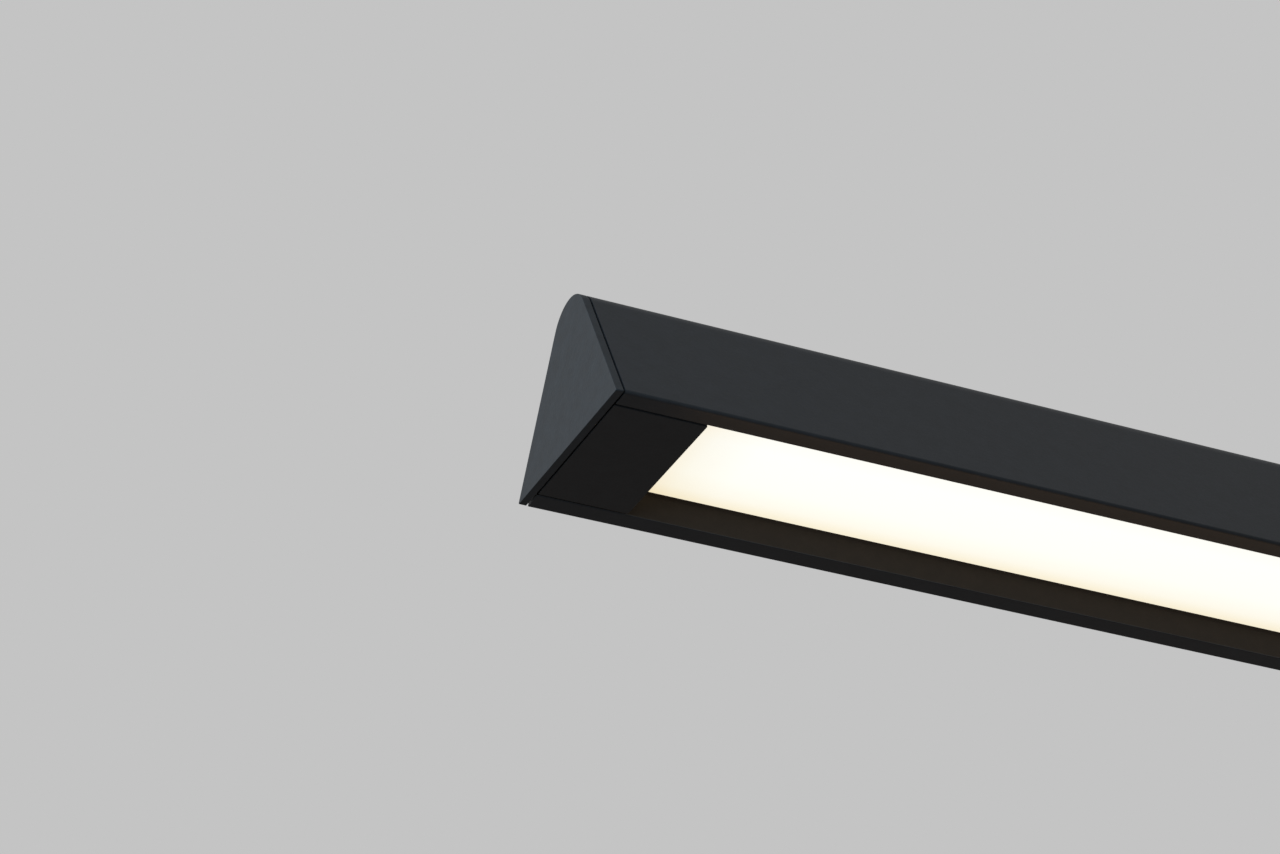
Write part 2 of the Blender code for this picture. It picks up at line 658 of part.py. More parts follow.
def driver():
    half_width = DRIVER_WIDTH / 2
    low_u = CENTRE - half_width
    high_u = CENTRE + half_width
    beyond = 5 * MM
    notch = NOTCH_WIDTH / 2

    base = block("driver_base", (DRIVER_X0, low_u, FLOOR), (DRIVER_X1, high_u, DRIVER_V),
                 CASE_WHITE, LIT_FACE)
    ears = block("driver_ears", (DRIVER_X0 - EAR_LENGTH, CENTRE - EAR_WIDTH / 2, FLOOR),
                 (DRIVER_X1 + EAR_LENGTH, CENTRE + EAR_WIDTH / 2, FLOOR + EAR_THICKNESS),
                 parent=LIT_FACE, group=CUTTERS)
    room = block("driver_room", (DRIVER_X0 + CASE_WALL, low_u + CASE_WALL, FLOOR + EAR_THICKNESS + CASE_WALL),
                 (DRIVER_X1 - CASE_WALL, high_u - CASE_WALL, DRIVER_V + beyond),
                 parent=LIT_FACE, group=CUTTERS)
    wire_v = FLOOR + DRIVER_BASE / 2
    notches = block("driver_notches", (DRIVER_X0 - beyond, CENTRE - notch, wire_v),
                    (DRIVER_X1 + beyond, CENTRE + notch, DRIVER_V + beyond),
                    parent=LIT_FACE, group=CUTTERS)
    combine(base, ears, "UNION")
    combine(base, room)
    combine(base, notches)
    screw_xs = (DRIVER_X0 - EAR_LENGTH / 2, DRIVER_X1 + EAR_LENGTH / 2)
    combine(base, pins("ear_holes", [(x, CENTRE, FLOOR) for x in screw_xs], M3[2] + CLEARANCE,
                       4 * EAR_THICKNESS, "Z", LIT_FACE))
    head_v = FLOOR + EAR_THICKNESS + GAP
    for label, x in zip(("left", "right"), screw_xs):
        screw("driver_screw_" + label, M3, (x, CENTRE, head_v), head_v - WEB_DEPTH - 0.2 * MM, ZINC_STEEL)

    lid_v = DRIVER_V + GAP
    lid = block("driver_lid", (DRIVER_X0, low_u, lid_v), (DRIVER_X1, high_u, lid_v + DRIVER_LID),
                CASE_WHITE, LIT_FACE, round_edges=0.4 * MM)
    lid_room = block("lid_room", (DRIVER_X0 + CASE_WALL, low_u + CASE_WALL, lid_v - beyond),
                     (DRIVER_X1 - CASE_WALL, high_u - CASE_WALL, lid_v + DRIVER_LID - CASE_WALL),
                     parent=LIT_FACE, group=CUTTERS)
    combine(lid, lid_room)

    board_gap = 1 * MM
    board_v = FLOOR + EAR_THICKNESS + CASE_WALL + GAP
    inside = CASE_WALL + FIT
    block("driver_board", (DRIVER_X0 + inside + board_gap, low_u + inside, board_v),
          (DRIVER_X1 - inside - board_gap, high_u - inside, board_v + board_gap), BOARD_GREEN, LIT_FACE)
    seat = board_v + board_gap + GAP

    core_x = DRIVER_X0 + 0.6 * DRIVER_LENGTH
    core_half = half_width - 2.5 * MM
    core = block("driver_transformer", (core_x, CENTRE - core_half, seat),
                 (core_x + 15 * MM, CENTRE + core_half, seat + 4.8 * MM), TRANSFORMER_YELLOW, LIT_FACE,
                 round_edges=0.4 * MM)
    winding_half = core_half + 0.6 * MM
    winding = block("winding", (core_x + 3 * MM, CENTRE - winding_half, seat + 0.6 * MM),
                    (core_x + 12 * MM, CENTRE + winding_half, seat + 4.2 * MM),
                    parent=LIT_FACE, group=CUTTERS)
    combine(core, winding, "UNION")

    can = 2.7 * MM
    groove = 0.3 * MM
    can_length = 12 * MM
    profile = [
        (0.0, can_length),
        (can - groove, can_length),
        (can, can_length - groove),
        (can, 2.4 * MM),
        (can - groove, 2 * MM),
        (can, 1.6 * MM),
        (can, groove),
        (can - groove, 0.0),
        (0.0, 0.0),
    ]
    turned("driver_capacitor", profile, (DRIVER_X0 + 0.8 * DRIVER_LENGTH, CENTRE, seat + can),
           (0.0, math.pi / 2, 0.0), CAPACITOR_SLEEVE, LIT_FACE)


# Mains side -------------------------------------------------------------------------------------

def pole_u(index):
    return CENTRE + (index - (len(POLES) - 1) / 2) * POLE_PITCH


def terminal():
    half_width = TERMINAL_WIDTH / 2
    end = TERMINAL_X0 + TERMINAL_LENGTH
    top = FLOOR + TERMINAL_HEIGHT
    ear_thickness = 1.5 * MM
    ear_half = 4 * MM
    body = block("terminal_block", (TERMINAL_X0, CENTRE - half_width, FLOOR),
                 (end, CENTRE + half_width, top), TERMINAL_GREY, LIT_FACE)
    ear = block("terminal_ear", (end - 1 * MM, CENTRE - ear_half, FLOOR),
                (end + TERMINAL_EAR, CENTRE + ear_half, FLOOR + ear_thickness),
                parent=LIT_FACE, group=CUTTERS)
    combine(body, ear, "UNION")
    entries = []
    for index in range(len(POLES)):
        for face in (TERMINAL_X0, end):
            entries.append((face, pole_u(index), FLOOR + ENTRY_HEIGHT))
    combine(body, pins("terminal_entries", entries, ENTRY_RADIUS, 2 * ENTRY_DEPTH, "X", LIT_FACE, 12))
    ear_hole = (end + TERMINAL_EAR / 2, CENTRE, FLOOR)
    combine(body, pins("terminal_ear_hole", [ear_hole], M3[2] + CLEARANCE, 4 * ear_thickness, "Z", LIT_FACE))
    middle = (TERMINAL_X0 + end) / 2
    for index, pole in enumerate(POLES):
        u = pole_u(index)
        well = block("well_" + pole, (middle - WELL_LENGTH / 2, u - WELL_WIDTH / 2, top - WELL_DEPTH),
                     (middle + WELL_LENGTH / 2, u + WELL_WIDTH / 2, top + WELL_DEPTH),
                     parent=LIT_FACE, group=CUTTERS)
        combine(body, well)
        half_length = WELL_LENGTH / 2 - GAP
        half_button = WELL_WIDTH / 2 - GAP
        block("terminal_button_" + pole,
              (middle - half_length, u - half_button, top - WELL_DEPTH + BUTTON_TRAVEL + GAP),
              (middle + half_length, u + half_button, top + BUTTON_PROUD),
              BUTTON_FINISH[pole], LIT_FACE, round_edges=0.3 * MM)
    head_v = FLOOR + ear_thickness + GAP
    screw("terminal_screw", M3, (ear_hole[0], CENTRE, head_v), head_v - WEB_DEPTH - 0.2 * MM, ZINC_STEEL)


def clamp_screw_offset():
    return (CLAMP_BORE + CLAMP_STRAP + CLAMP_FOOT) / 2


def cord_clamp():
    outer = CLAMP_BORE + CLAMP_STRAP
    axis = (CENTRE, FLOOR + CLAMP_BORE - CLAMP_STRAP)
    outline = [
        (CENTRE - CLAMP_FOOT, FLOOR),
        (CENTRE - CLAMP_BORE, FLOOR),
        *arc(axis, CLAMP_BORE, 180, 0, 12),
        (CENTRE + CLAMP_BORE, FLOOR),
        (CENTRE + CLAMP_FOOT, FLOOR),
        (CENTRE + CLAMP_FOOT, FLOOR + CLAMP_STRAP),
        (CENTRE + outer, FLOOR + CLAMP_STRAP),
        *arc(axis, outer, 0, 180, 12),
        (CENTRE - outer, FLOOR + CLAMP_STRAP),
        (CENTRE - CLAMP_FOOT, FLOOR + CLAMP_STRAP),
    ]
    clamp = drawn("cord_clamp", outline, CLAMP_X - CLAMP_WIDTH / 2, CLAMP_X + CLAMP_WIDTH / 2, ACROSS,
                  TERMINAL_GREY, LIT_FACE)
    offsets = (-clamp_screw_offset(), clamp_screw_offset())
    holes = [(CLAMP_X, CENTRE + offset, FLOOR) for offset in offsets]
    combine(clamp, pins("clamp_holes", holes, M3[2] + CLEARANCE, 4 * CLAMP_STRAP, "Z", LIT_FACE))
    head_v = FLOOR + CLAMP_STRAP + GAP
    for label, offset in zip(("front", "rear"), offsets):
        screw("clamp_screw_" + label, M3, (CLAMP_X, CENTRE + offset, head_v),
              head_v - WEB_DEPTH - 0.2 * MM, ZINC_STEEL)


def earth_point():
    tongue = 10 * MM
    tongue_half = 1.6 * MM
    bend = math.degrees(math.asin(tongue_half / TAG_RADIUS))
    outline = [
        *arc((EARTH_X, CENTRE), TAG_RADIUS, bend, 360 - bend, 20),
        (EARTH_X + tongue, CENTRE - tongue_half),
        (EARTH_X + tongue, CENTRE + tongue_half),
    ]
    tag = drawn("earth_tag", outline, FLOOR, FLOOR + TAG_THICKNESS, FLAT, BRASS, LIT_FACE)
    combine(tag, pins("tag_hole", [(EARTH_X, CENTRE, FLOOR)], M4[2] + CLEARANCE, 4 * TAG_THICKNESS, "Z",
                      LIT_FACE))
    head_v = FLOOR + TAG_THICKNESS + GAP
    screw("earth_screw", M4, (EARTH_X, CENTRE, head_v), head_v - WEB_DEPTH - 0.2 * MM, BRASS)


def leads():
    entry_v = FLOOR + ENTRY_HEIGHT
    plug_x = TERMINAL_X0 + ENTRY_DEPTH - 2 * MM
    notch_x = DRIVER_X1 - 4 * MM
    wire_v = FLOOR + DRIVER_BASE / 2 + LEAD_RADIUS + 0.6 * MM
    live = pole_u(0)
    neutral = pole_u(1)
    earth = pole_u(2)
    lead("lead_live", [
        (plug_x, live, entry_v),
        (TERMINAL_X0 - 4 * MM, live, entry_v),
        (EARTH_X + 12 * MM, live - 1.5 * MM, entry_v - 0.8 * MM),
        (EARTH_X, live - 1.8 * MM, entry_v - 0.8 * MM),
        (DRIVER_X1 + 26 * MM, live - 0.5 * MM, entry_v),
        (DRIVER_X1 + 12 * MM, CENTRE - 1.6 * MM, wire_v + 0.4 * MM),
        (DRIVER_X1 + 2 * MM, CENTRE - 1.6 * MM, wire_v),
        (notch_x, CENTRE - 1.6 * MM, wire_v),
    ], LEAD_RADIUS, BROWN_PVC)
    lead("lead_neutral", [
        (plug_x, neutral, entry_v),
        (TERMINAL_X0 - 4 * MM, neutral, entry_v + 0.3 * MM),
        (EARTH_X + 14 * MM, neutral + 1 * MM, entry_v + 4 * MM),
        (EARTH_X, neutral + 1 * MM, entry_v + 5 * MM),
        (DRIVER_X1 + 30 * MM, neutral + 2 * MM, entry_v + 3 * MM),
        (DRIVER_X1 + 12 * MM, CENTRE + 1.6 * MM, wire_v + 0.6 * MM),
        (DRIVER_X1 + 2 * MM, CENTRE + 1.6 * MM, wire_v),
        (notch_x, CENTRE + 1.6 * MM, wire_v),
    ], LEAD_RADIUS, BLUE_PVC)
    tag_top = FLOOR + TAG_THICKNESS + GAP + LEAD_RADIUS
    lead("lead_earth", [
        (plug_x, earth, entry_v),
        (TERMINAL_X0 - 4 * MM, earth, entry_v),
        (TERMINAL_X0 - 12 * MM, earth - 1.5 * MM, entry_v - 0.8 * MM),
        (EARTH_X + 13 * MM, CENTRE + 0.6 * MM, tag_top + 0.2 * MM),
        (EARTH_X + 7 * MM, CENTRE, tag_top),
    ], LEAD_RADIUS, GREEN_PVC)

    face_v = BOARD_V - GAP - LED_LEAD_RADIUS
    beside = LED_LEAD_RADIUS + 0.4 * MM
    pad_x = -BOARD_END + 2.5 * MM
    for label, across, finish in (("positive", -beside, RED_PVC), ("negative", beside, BLACK_PVC)):
        u = CENTRE + across
        lead("led_lead_" + label, [
            (DRIVER_X0 + 4 * MM, u, wire_v - 0.2 * MM),
            (DRIVER_X0 - 3 * MM, u, wire_v),
            (DRIVER_X0 - 16 * MM, u, wire_v - 1.5 * MM),
            (LED_LEAD_X + 4 * MM, u, FLOOR + 1.8 * MM),
            (LED_LEAD_X, u, WEB_DEPTH + WEB / 2),
            (LED_LEAD_X, u, BOARD_V + 0.6 * MM),
            (-BOARD_END - 1.6 * MM, u, face_v + 0.1 * MM),
            (pad_x, u, face_v),
        ], LED_LEAD_RADIUS, finish)
        far = CENTRE + 4 * across
        dip = 0.8 * MM
        bridge = BOARD_SPLIT + 3 * MM
        lead("board_link_" + label, [
            (-bridge, far, face_v),
            (-bridge / 2, far, face_v - dip),
            (bridge / 2, far, face_v - dip),
            (bridge, far, face_v),
        ], LED_LEAD_RADIUS, finish)


# Wall side --------------------------------------------------------------------------------------

def wall_plate():
    corner = 3 * MM
    outline = rounded([
        (-PLATE_HALF_LENGTH, -PLATE_HALF, corner), (PLATE_HALF_LENGTH, -PLATE_HALF, corner),
        (PLATE_HALF_LENGTH, PLATE_HALF, corner), (-PLATE_HALF_LENGTH, PLATE_HALF, corner)])
    plate = drawn("wall_plate", outline, -PLATE, 0.0, UPRIGHT, ZINC_STEEL)
    root = 0.5 * MM
    step = 0.1 * MM
    back = -PLATE - HOOK_STEP
    profile = [
        (-root, PLATE_HALF - step - PLATE),
        (back - PLATE, PLATE_HALF - step - PLATE),
        (back - PLATE, PLATE_HALF + HOOK_RISE),
        (back, PLATE_HALF + HOOK_RISE),
        (back, PLATE_HALF - step),
        (-root, PLATE_HALF - step),
    ]
    slot = rounded([(x, z, SLOT_WIDTH / 2 - 0.01 * MM) for x, z in (
        (-SLOT_LENGTH / 2, -SLOT_WIDTH / 2), (SLOT_LENGTH / 2, -SLOT_WIDTH / 2),
        (SLOT_LENGTH / 2, SLOT_WIDTH / 2), (-SLOT_LENGTH / 2, SLOT_WIDTH / 2))])
    for label, side in mirrored_ends():
        middle = side * HOOK_X
        hook = drawn("hook_" + label, profile, middle - HOOK_WIDTH / 2, middle + HOOK_WIDTH / 2, ACROSS,
                     group=CUTTERS)
        combine(plate, hook, "UNION")
        cut = drawn("slot_" + label, [(side * SLOT_X + x, z) for x, z in slot], -2 * PLATE, PLATE, UPRIGHT,
                    group=CUTTERS)
        combine(plate, cut)
    cable_hole = pins("cable_hole", [(CABLE_X, -PLATE / 2, 0.0)], GROMMET_BORE + GROMMET_WALL + GAP,
                      4 * PLATE, "Y", None, 32)
    combine(plate, cable_hole)


def grommet():
    outer = GROMMET_BORE + GROMMET_WALL
    body = PLATE - 0.1 * MM
    chamfer = 0.5 * MM
    profile = [
        (GROMMET_BORE, GROMMET_FLANGE_THICKNESS + GAP),
        (GROMMET_FLANGE - chamfer, GROMMET_FLANGE_THICKNESS + GAP),
        (GROMMET_FLANGE, GROMMET_FLANGE_THICKNESS + GAP - chamfer),
        (GROMMET_FLANGE, GAP),
        (outer, GAP),
        (outer, -body),
        (GROMMET_BORE, -body),
        (GROMMET_BORE, GROMMET_FLANGE_THICKNESS + GAP),
    ]
    turned("cable_grommet", profile, (CABLE_X, -PLATE, 0.0), (math.pi / 2, 0.0, 0.0), BLACK_RUBBER,
           steps=32)


def fixing(label, side):
    back = -PLATE - GAP
    face = back - PLATE
    leaf = FLOOR
    leaf_top = FLOOR + PLATE
    outline = [
        lit_at_y(back, leaf),
        lit_point(BRACKET_REACH, leaf),
        lit_point(BRACKET_REACH, leaf_top),
        lit_at_y(face, leaf_top),
        (face, BRACKET_RISE),
        (back, BRACKET_RISE),
    ]
    middle = side * BRACKET_X
    bracket = drawn("fixing_bracket_" + label, outline, middle - BRACKET_WIDTH / 2,
                    middle + BRACKET_WIDTH / 2, ACROSS, ZINC_STEEL)
    hole = pins("bracket_hole_" + label, [(middle, FIXING_U, leaf)], M4[2] + CLEARANCE, 4 * PLATE, "Z",
                LIT_FACE)
    combine(bracket, hole)
    nut_height = 3.2 * MM
    nut("fixing_nut_" + label, (middle, FIXING_U, leaf_top + GAP + nut_height / 2), 7 * MM, nut_height,
        M4[2] + CLEARANCE, FLAT, ZINC_STEEL)
    head_v = WEB_DEPTH - GAP
    length = leaf_top + nut_height + 2 * MM - head_v
    screw("fixing_screw_" + label, M4, (middle, FIXING_U, head_v), length, ZINC_STEEL, head_up=False)


housing()
diffuser()
led_tray()
driver()
terminal()
cord_clamp()
earth_point()
leads()
wall_plate()
grommet()
for end_label, end_side in mirrored_ends():
    end_assembly(end_label, end_side)
    cover_assembly(end_label, end_side)
    led_board(end_label, end_side)
    light_stop(end_label, end_side)
    tray_screw(end_label, end_side)
    fixing(end_label, end_side)
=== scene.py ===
# %% [markdown]
# # A slim wall light, finished in Blender
# The light is a 600 mm bar with an equal-sided triangular section. One side stands against the wall, one
# looks up and forwards, and the lit side looks down and forwards. Its solids come ready made from the CAD
# model, in metres: X along the bar, Y into the wall, Z up. Here each visible solid gets a finer piece with
# rounded edges and a finish of its own. The fixed model is loaded first.

import math

import bmesh
import bpy
from mathutils import Matrix, Vector


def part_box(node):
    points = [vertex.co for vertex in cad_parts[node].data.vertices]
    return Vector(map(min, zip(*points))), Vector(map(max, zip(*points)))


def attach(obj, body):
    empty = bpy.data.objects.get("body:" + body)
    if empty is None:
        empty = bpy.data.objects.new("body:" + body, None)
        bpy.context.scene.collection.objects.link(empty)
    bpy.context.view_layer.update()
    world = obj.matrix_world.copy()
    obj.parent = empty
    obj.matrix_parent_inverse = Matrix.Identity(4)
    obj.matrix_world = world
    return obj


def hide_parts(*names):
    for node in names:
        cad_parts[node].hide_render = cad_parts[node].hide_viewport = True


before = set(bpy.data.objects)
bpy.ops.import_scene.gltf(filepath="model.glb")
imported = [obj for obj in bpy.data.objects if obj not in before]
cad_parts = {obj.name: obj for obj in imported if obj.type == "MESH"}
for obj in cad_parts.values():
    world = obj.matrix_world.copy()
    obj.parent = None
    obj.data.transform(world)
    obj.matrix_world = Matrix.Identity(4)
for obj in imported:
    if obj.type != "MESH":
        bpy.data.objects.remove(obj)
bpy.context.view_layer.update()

# %% [markdown]
# ## Where things are
# Nearly everything lines up with the lit face, so pieces are modelled in that face's own millimetres: x
# along the bar, u across the face from the front corner to the wall corner, and v inwards, square to it.
# One matrix then carries a finished shape to its place. The other choice, modelling in world metres, would
# put a sine and a cosine into every number.

# %% The lit face's own frame
MM = 0.001
SIDE = 60.0
WALL_GAP = 0.4
EDGE_RADIUS = 0.7      # the extrusion's front corner
ARRIS = 0.2            # its lower corner at the wall
PLATE_RADIUS = 0.3     # the same two corners of an end plate
TOP_RADIUS = 10.0
SIN60 = math.sin(math.radians(60))
TAN60 = math.tan(math.radians(60))

plate_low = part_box("end_plate_left")[0]
FRONT_Y = -WALL_GAP - SIDE * SIN60
# A 60 degree corner rounded to radius r ends (sqrt(3) - 1) r short of its sharp point.
FRONT_Z = plate_low[2] / MM - (math.sqrt(3) - 1) * PLATE_RADIUS + SIDE / 2
LIT = (Matrix.Scale(MM, 4) @ Matrix.Translation((0, FRONT_Y, FRONT_Z))
       @ Matrix.Rotation(math.radians(-30), 4, "X"))
WALL = Matrix.Scale(MM, 4)

HALF = 300.0
END_PLATE = 2.0
BODY_HALF = 297.5
print("front corner at y", round(FRONT_Y, 2), "z", round(FRONT_Z, 2), "mm")

# %% [markdown]
# ## Camera
# The bar is seen from its left, a little from below, through a long lens, and the camera leans to one
# side. Three turns say that plainly, one after the other: round the vertical, up, and round the line of
# sight. A look-at constraint would hide the lean.

# %% Camera
CAMERA_FROM_CORNER = Vector((-261.8, -731.3, -40.0))    # mm from the left end's front corner
TURN, TILT, LEAN = -20.22, 2.41, 12.05                  # degrees
lens = bpy.data.cameras.new("camera")
lens.sensor_width = 36
lens.lens = 95.37
camera = bpy.data.objects.new("camera", lens)
bpy.context.scene.collection.objects.link(camera)
camera_place = (Vector((-HALF, FRONT_Y, FRONT_Z)) + CAMERA_FROM_CORNER) * MM
camera.matrix_world = (Matrix.Translation(camera_place)
                       @ Matrix.Rotation(math.radians(TURN), 4, "Z")
                       @ Matrix.Rotation(math.radians(90 + TILT), 4, "X")
                       @ Matrix.Rotation(math.radians(LEAN), 4, "Z"))
bpy.context.scene.camera = camera
print("camera at", [round(c, 3) for c in camera_place])

# %% [markdown]
# ## Small helpers for shapes
# An extruded or pressed part is one outline drawn out along the bar. Each outline is a short list of
# corners with a radius. A bevel would bend a wide corner into part of an ellipse where its angle isn't
# square, so each round corner is spun about its own centre, which gives a true arc.

# %% Outlines
def draw_outline(shape, corners, x, steps=6):
    """Draws corners (u, v, radius) as a closed outline at x, and returns its face."""
    points = [Vector((x, corner[0], corner[1])) for corner in corners]
    runs = []
    for index, (corner, point) in enumerate(zip(corners, points)):
        radius = corner[2] if len(corner) > 2 else 0.0
        if not radius:
            vert = shape.verts.new(point)
            runs.append((vert, vert))
            continue
        before = (points[index - 1] - point).normalized()
        after = (points[(index + 1) % len(points)] - point).normalized()
        half_angle = before.angle(after) / 2
        centre = point + (before + after).normalized() * radius / math.sin(half_angle)
        tangent = radius / math.tan(half_angle)
        first = shape.verts.new(point + before * tangent)
        axis = (first.co - centre).cross(point + after * tangent - centre)
        spun = bmesh.ops.spin(shape, geom=[first], cent=centre, axis=axis.normalized(),
                              angle=math.pi - 2 * half_angle,
                              steps=max(steps, int(radius * 2)), use_merge=False)
        last = next(part for part in spun["geom_last"] if isinstance(part, bmesh.types.BMVert))
        runs.append((first, last))
    for (_, last), (first, _) in zip(runs, runs[1:] + runs[:1]):
        shape.edges.new((last, first))
    return bmesh.ops.contextual_create(shape, geom=list(shape.edges))["faces"][0]


def drawn_out(corners, start, end, rim=0.0, steps=6):
    """A bar with one outline from start to end; rim rounds the outlines of its two ends."""
    shape = bmesh.new()
    face = draw_outline(shape, corners, start, steps)
    made = bmesh.ops.extrude_face_region(shape, geom=[face])["geom"]
    moved = [part for part in made if isinstance(part, bmesh.types.BMVert)]
    bmesh.ops.translate(shape, vec=(end - start, 0, 0), verts=moved)
    if rim:
        edges = [edge for edge in shape.edges
                 if abs(edge.verts[0].co.x - edge.verts[1].co.x) < 1e-6]
        bmesh.ops.bevel(shape, geom=edges, offset=rim, offset_type="OFFSET", segments=2,
                        profile=0.5, affect="EDGES", material=-1)
    return shape


def soft_box(low, high, edge, segments=2):
    """A box between two corners; edge is the radius of its rounded edges."""
    low, high = Vector(low), Vector(high)
    shape = bmesh.new()
    bmesh.ops.create_cube(shape, size=1.0)
    bmesh.ops.scale(shape, vec=high - low, verts=shape.verts)
    bmesh.ops.translate(shape, vec=(low + high) / 2, verts=shape.verts)
    if edge:
        bmesh.ops.bevel(shape, geom=list(shape.edges), offset=edge, offset_type="OFFSET",
                        segments=segments, profile=0.5, affect="EDGES", material=-1)
    return shape


def spun(profile, steps=32, matrix=Matrix.Identity(4)):
    """A profile of (radius, height) turned about Z, then carried to its place."""
    shape = bmesh.new()
    verts = [shape.verts.new((radius, 0, height)) for radius, height in profile]
    edges = [shape.edges.new(pair) for pair in zip(verts, verts[1:])]
    bmesh.ops.spin(shape, geom=verts + edges, cent=(0, 0, 0), axis=(0, 0, 1),
                   angle=2 * math.pi, steps=steps, use_merge=True)
    bmesh.ops.remove_doubles(shape, verts=shape.verts, dist=1e-4)
    bmesh.ops.transform(shape, matrix=matrix, verts=shape.verts)
    return shape


def join(shape, *others):
    """Adds other shapes to the first one."""
    for other in others:
        spare = bpy.data.meshes.new("spare")
        other.to_mesh(spare)
        other.free()
        shape.from_mesh(spare)
        bpy.data.meshes.remove(spare)
    return shape


print("outline, box and turning helpers ready")

# %% [markdown]
# Holes are easiest to cut with a Boolean. It works on objects, so both shapes become objects for a moment.
# A finished piece then keeps only the result, with flat faces kept flat next to rounded edges by weighted
# normals. Each piece rides on its CAD body, and the CAD solids that it stands for are hidden.

# %% Cutting and finishing
def as_object(shape, name):
    mesh = bpy.data.meshes.new(name)
    shape.to_mesh(mesh)
    shape.free()
    item = bpy.data.objects.new(name, mesh)
    bpy.context.scene.collection.objects.link(item)
    return item


def cut(shape, *cutters, operation="DIFFERENCE"):
    """The shape with each cutter taken away, or joined on."""
    body = as_object(shape, "blank")
    tools = []
    for cutter in cutters:
        bmesh.ops.recalc_face_normals(cutter, faces=cutter.faces)
        tool = as_object(cutter, "cutter")
        step = body.modifiers.new("cut", "BOOLEAN")
        step.operation = operation
        step.object = tool
        step.solver = "EXACT"
        tools.append(tool)
    bpy.context.view_layer.update()
    evaluated = body.evaluated_get(bpy.context.evaluated_depsgraph_get())
    result = bmesh.new()
    result.from_mesh(evaluated.to_mesh())
    for item in (body, *tools):
        bpy.data.objects.remove(item, do_unlink=True)
    bmesh.ops.dissolve_limit(result, angle_limit=0.002, verts=result.verts, edges=result.edges)
    return result


def finished(shape, name, finish, nodes, place=LIT, body="bar", soft_angle=35):
    """Carries a shape to its place and makes it a piece that stands for the named CAD nodes."""
    bmesh.ops.transform(shape, matrix=place, verts=shape.verts)
    bmesh.ops.recalc_face_normals(shape, faces=shape.faces)
    limit = math.radians(soft_angle)
    for face in shape.faces:
        face.smooth = True
    for edge in shape.edges:
        edge.smooth = len(edge.link_faces) == 2 and edge.calc_face_angle() < limit
    piece = as_object(shape, name)
    piece.data.materials.append(finish)
    flat = piece.modifiers.new("flat_faces", "WEIGHTED_NORMAL")
    flat.keep_sharp = True
    flat.weight = 100
    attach(piece, body)
    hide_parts(*nodes)
    print(name, "-", len(piece.data.polygons), "faces")
    return piece


print("cutting and finishing helpers ready")

# %% [markdown]
# ## Small helpers for finishes
# Colours are written as the hex values a paint chart would give, and one function turns them to the linear
# numbers that a shader needs. One function adds a node with its settings and links, and the nodes that
# nearly every finish uses have a short function each. Pattern sizes are given in millimetres.

# %% Colour and nodes
def colour(code):
    """A hex sRGB colour as linear red, green, blue and alpha."""
    parts = [int(code[i:i + 2], 16) / 255 for i in (0, 2, 4)]
    linear = [c / 12.92 if c <= 0.04045 else ((c + 0.055) / 1.055) ** 2.4 for c in parts]
    return (*linear, 1.0)


def grey(level):
    """A linear grey."""
    return (level, level, level, 1.0)


def per_metre(size_mm):
    """The texture scale at which one cell of a pattern is this many millimetres wide."""
    return 1 / (size_mm * MM)


def add_node(tree, kind, settings=None, links=None):
    """Adds a node. Settings go to its sockets or its own options; links join sockets to its inputs."""
    node = tree.nodes.new(kind)
    for key, value in (settings or {}).items():
        if key == "stops":
            ramp = node.color_ramp
            while len(ramp.elements) < len(value):
                ramp.elements.new(0.5)
            for element, (position, tone) in zip(ramp.elements, value):
                element.position = position
                element.color = tone
        elif isinstance(key, int) or key in node.inputs:
            node.inputs[key].default_value = value
        else:
            setattr(node, key, value)
    for key, source in (links or {}).items():
        tree.links.new(source, node.inputs[key])
    return node


def new_material(name, ior, metallic, roughness):
    """A material with one Principled shader, and the coordinates of the piece itself."""
    material = bpy.data.materials.new(name)
    material.use_nodes = True
    tree = material.node_tree
    shader = tree.nodes["Principled BSDF"]
    shader.inputs["IOR"].default_value = ior
    shader.inputs["Metallic"].default_value = metallic
    shader.inputs["Roughness"].default_value = roughness
    where = add_node(tree, "ShaderNodeTexCoord").outputs["Object"]
    return material, tree, shader, where


def noise(tree, where, size_mm, detail, **settings):
    return add_node(tree, "ShaderNodeTexNoise",
                    {"Scale": per_metre(size_mm), "Detail": detail, **settings}, {"Vector": where})


def ramp(tree, stops, factor):
    """A colour ramp through (position, hex colour) stops."""
    return add_node(tree, "ShaderNodeValToRGB",
                    {"stops": [(place, colour(code)) for place, code in stops]}, {"Fac": factor})


def bump(tree, strength, height_mm, height, **settings):
    return add_node(tree, "ShaderNodeBump",
                    {"Strength": strength, "Distance": height_mm * MM, **settings}, {"Height": height})


def gloss_range(tree, low, high, factor):
    return add_node(tree, "ShaderNodeMapRange", {"To Min": low, "To Max": high}, {"Value": factor})


def in_lit_face(tree, where):
    """Coordinates that lie along, across and into the lit face."""
    return add_node(tree, "ShaderNodeMapping",
                    {"vector_type": "TEXTURE", "Location": LIT.translation,
                     "Rotation": (math.radians(-30), 0, 0)}, {"Vector": where}).outputs["Vector"]


def connect(tree, shader, tint=None, gloss=None, relief=None):
    """Joins the nodes for colour, roughness and bump to the shader."""
    if tint:
        tree.links.new(tint.outputs["Color"], shader.inputs["Base Color"])
    if gloss:
        tree.links.new(gloss.outputs["Result"], shader.inputs["Roughness"])
    if relief:
        tree.links.new(relief.outputs["Normal"], shader.inputs["Normal"])


print("node helpers ready")

# %% [markdown]
# ## Powder coat
# The bar is aluminium and sheet steel with a fine-textured polyester powder coat. The powder melts into a
# skin of small bumps, about half a millimetre across, that breaks up every reflection: the surface looks
# matte, but brightens where it is seen at a flat angle. Two layers of noise make the bumps, one for the
# texture and a wider, weaker one for the coat's uneven thickness. A third, wider still, mottles the colour.

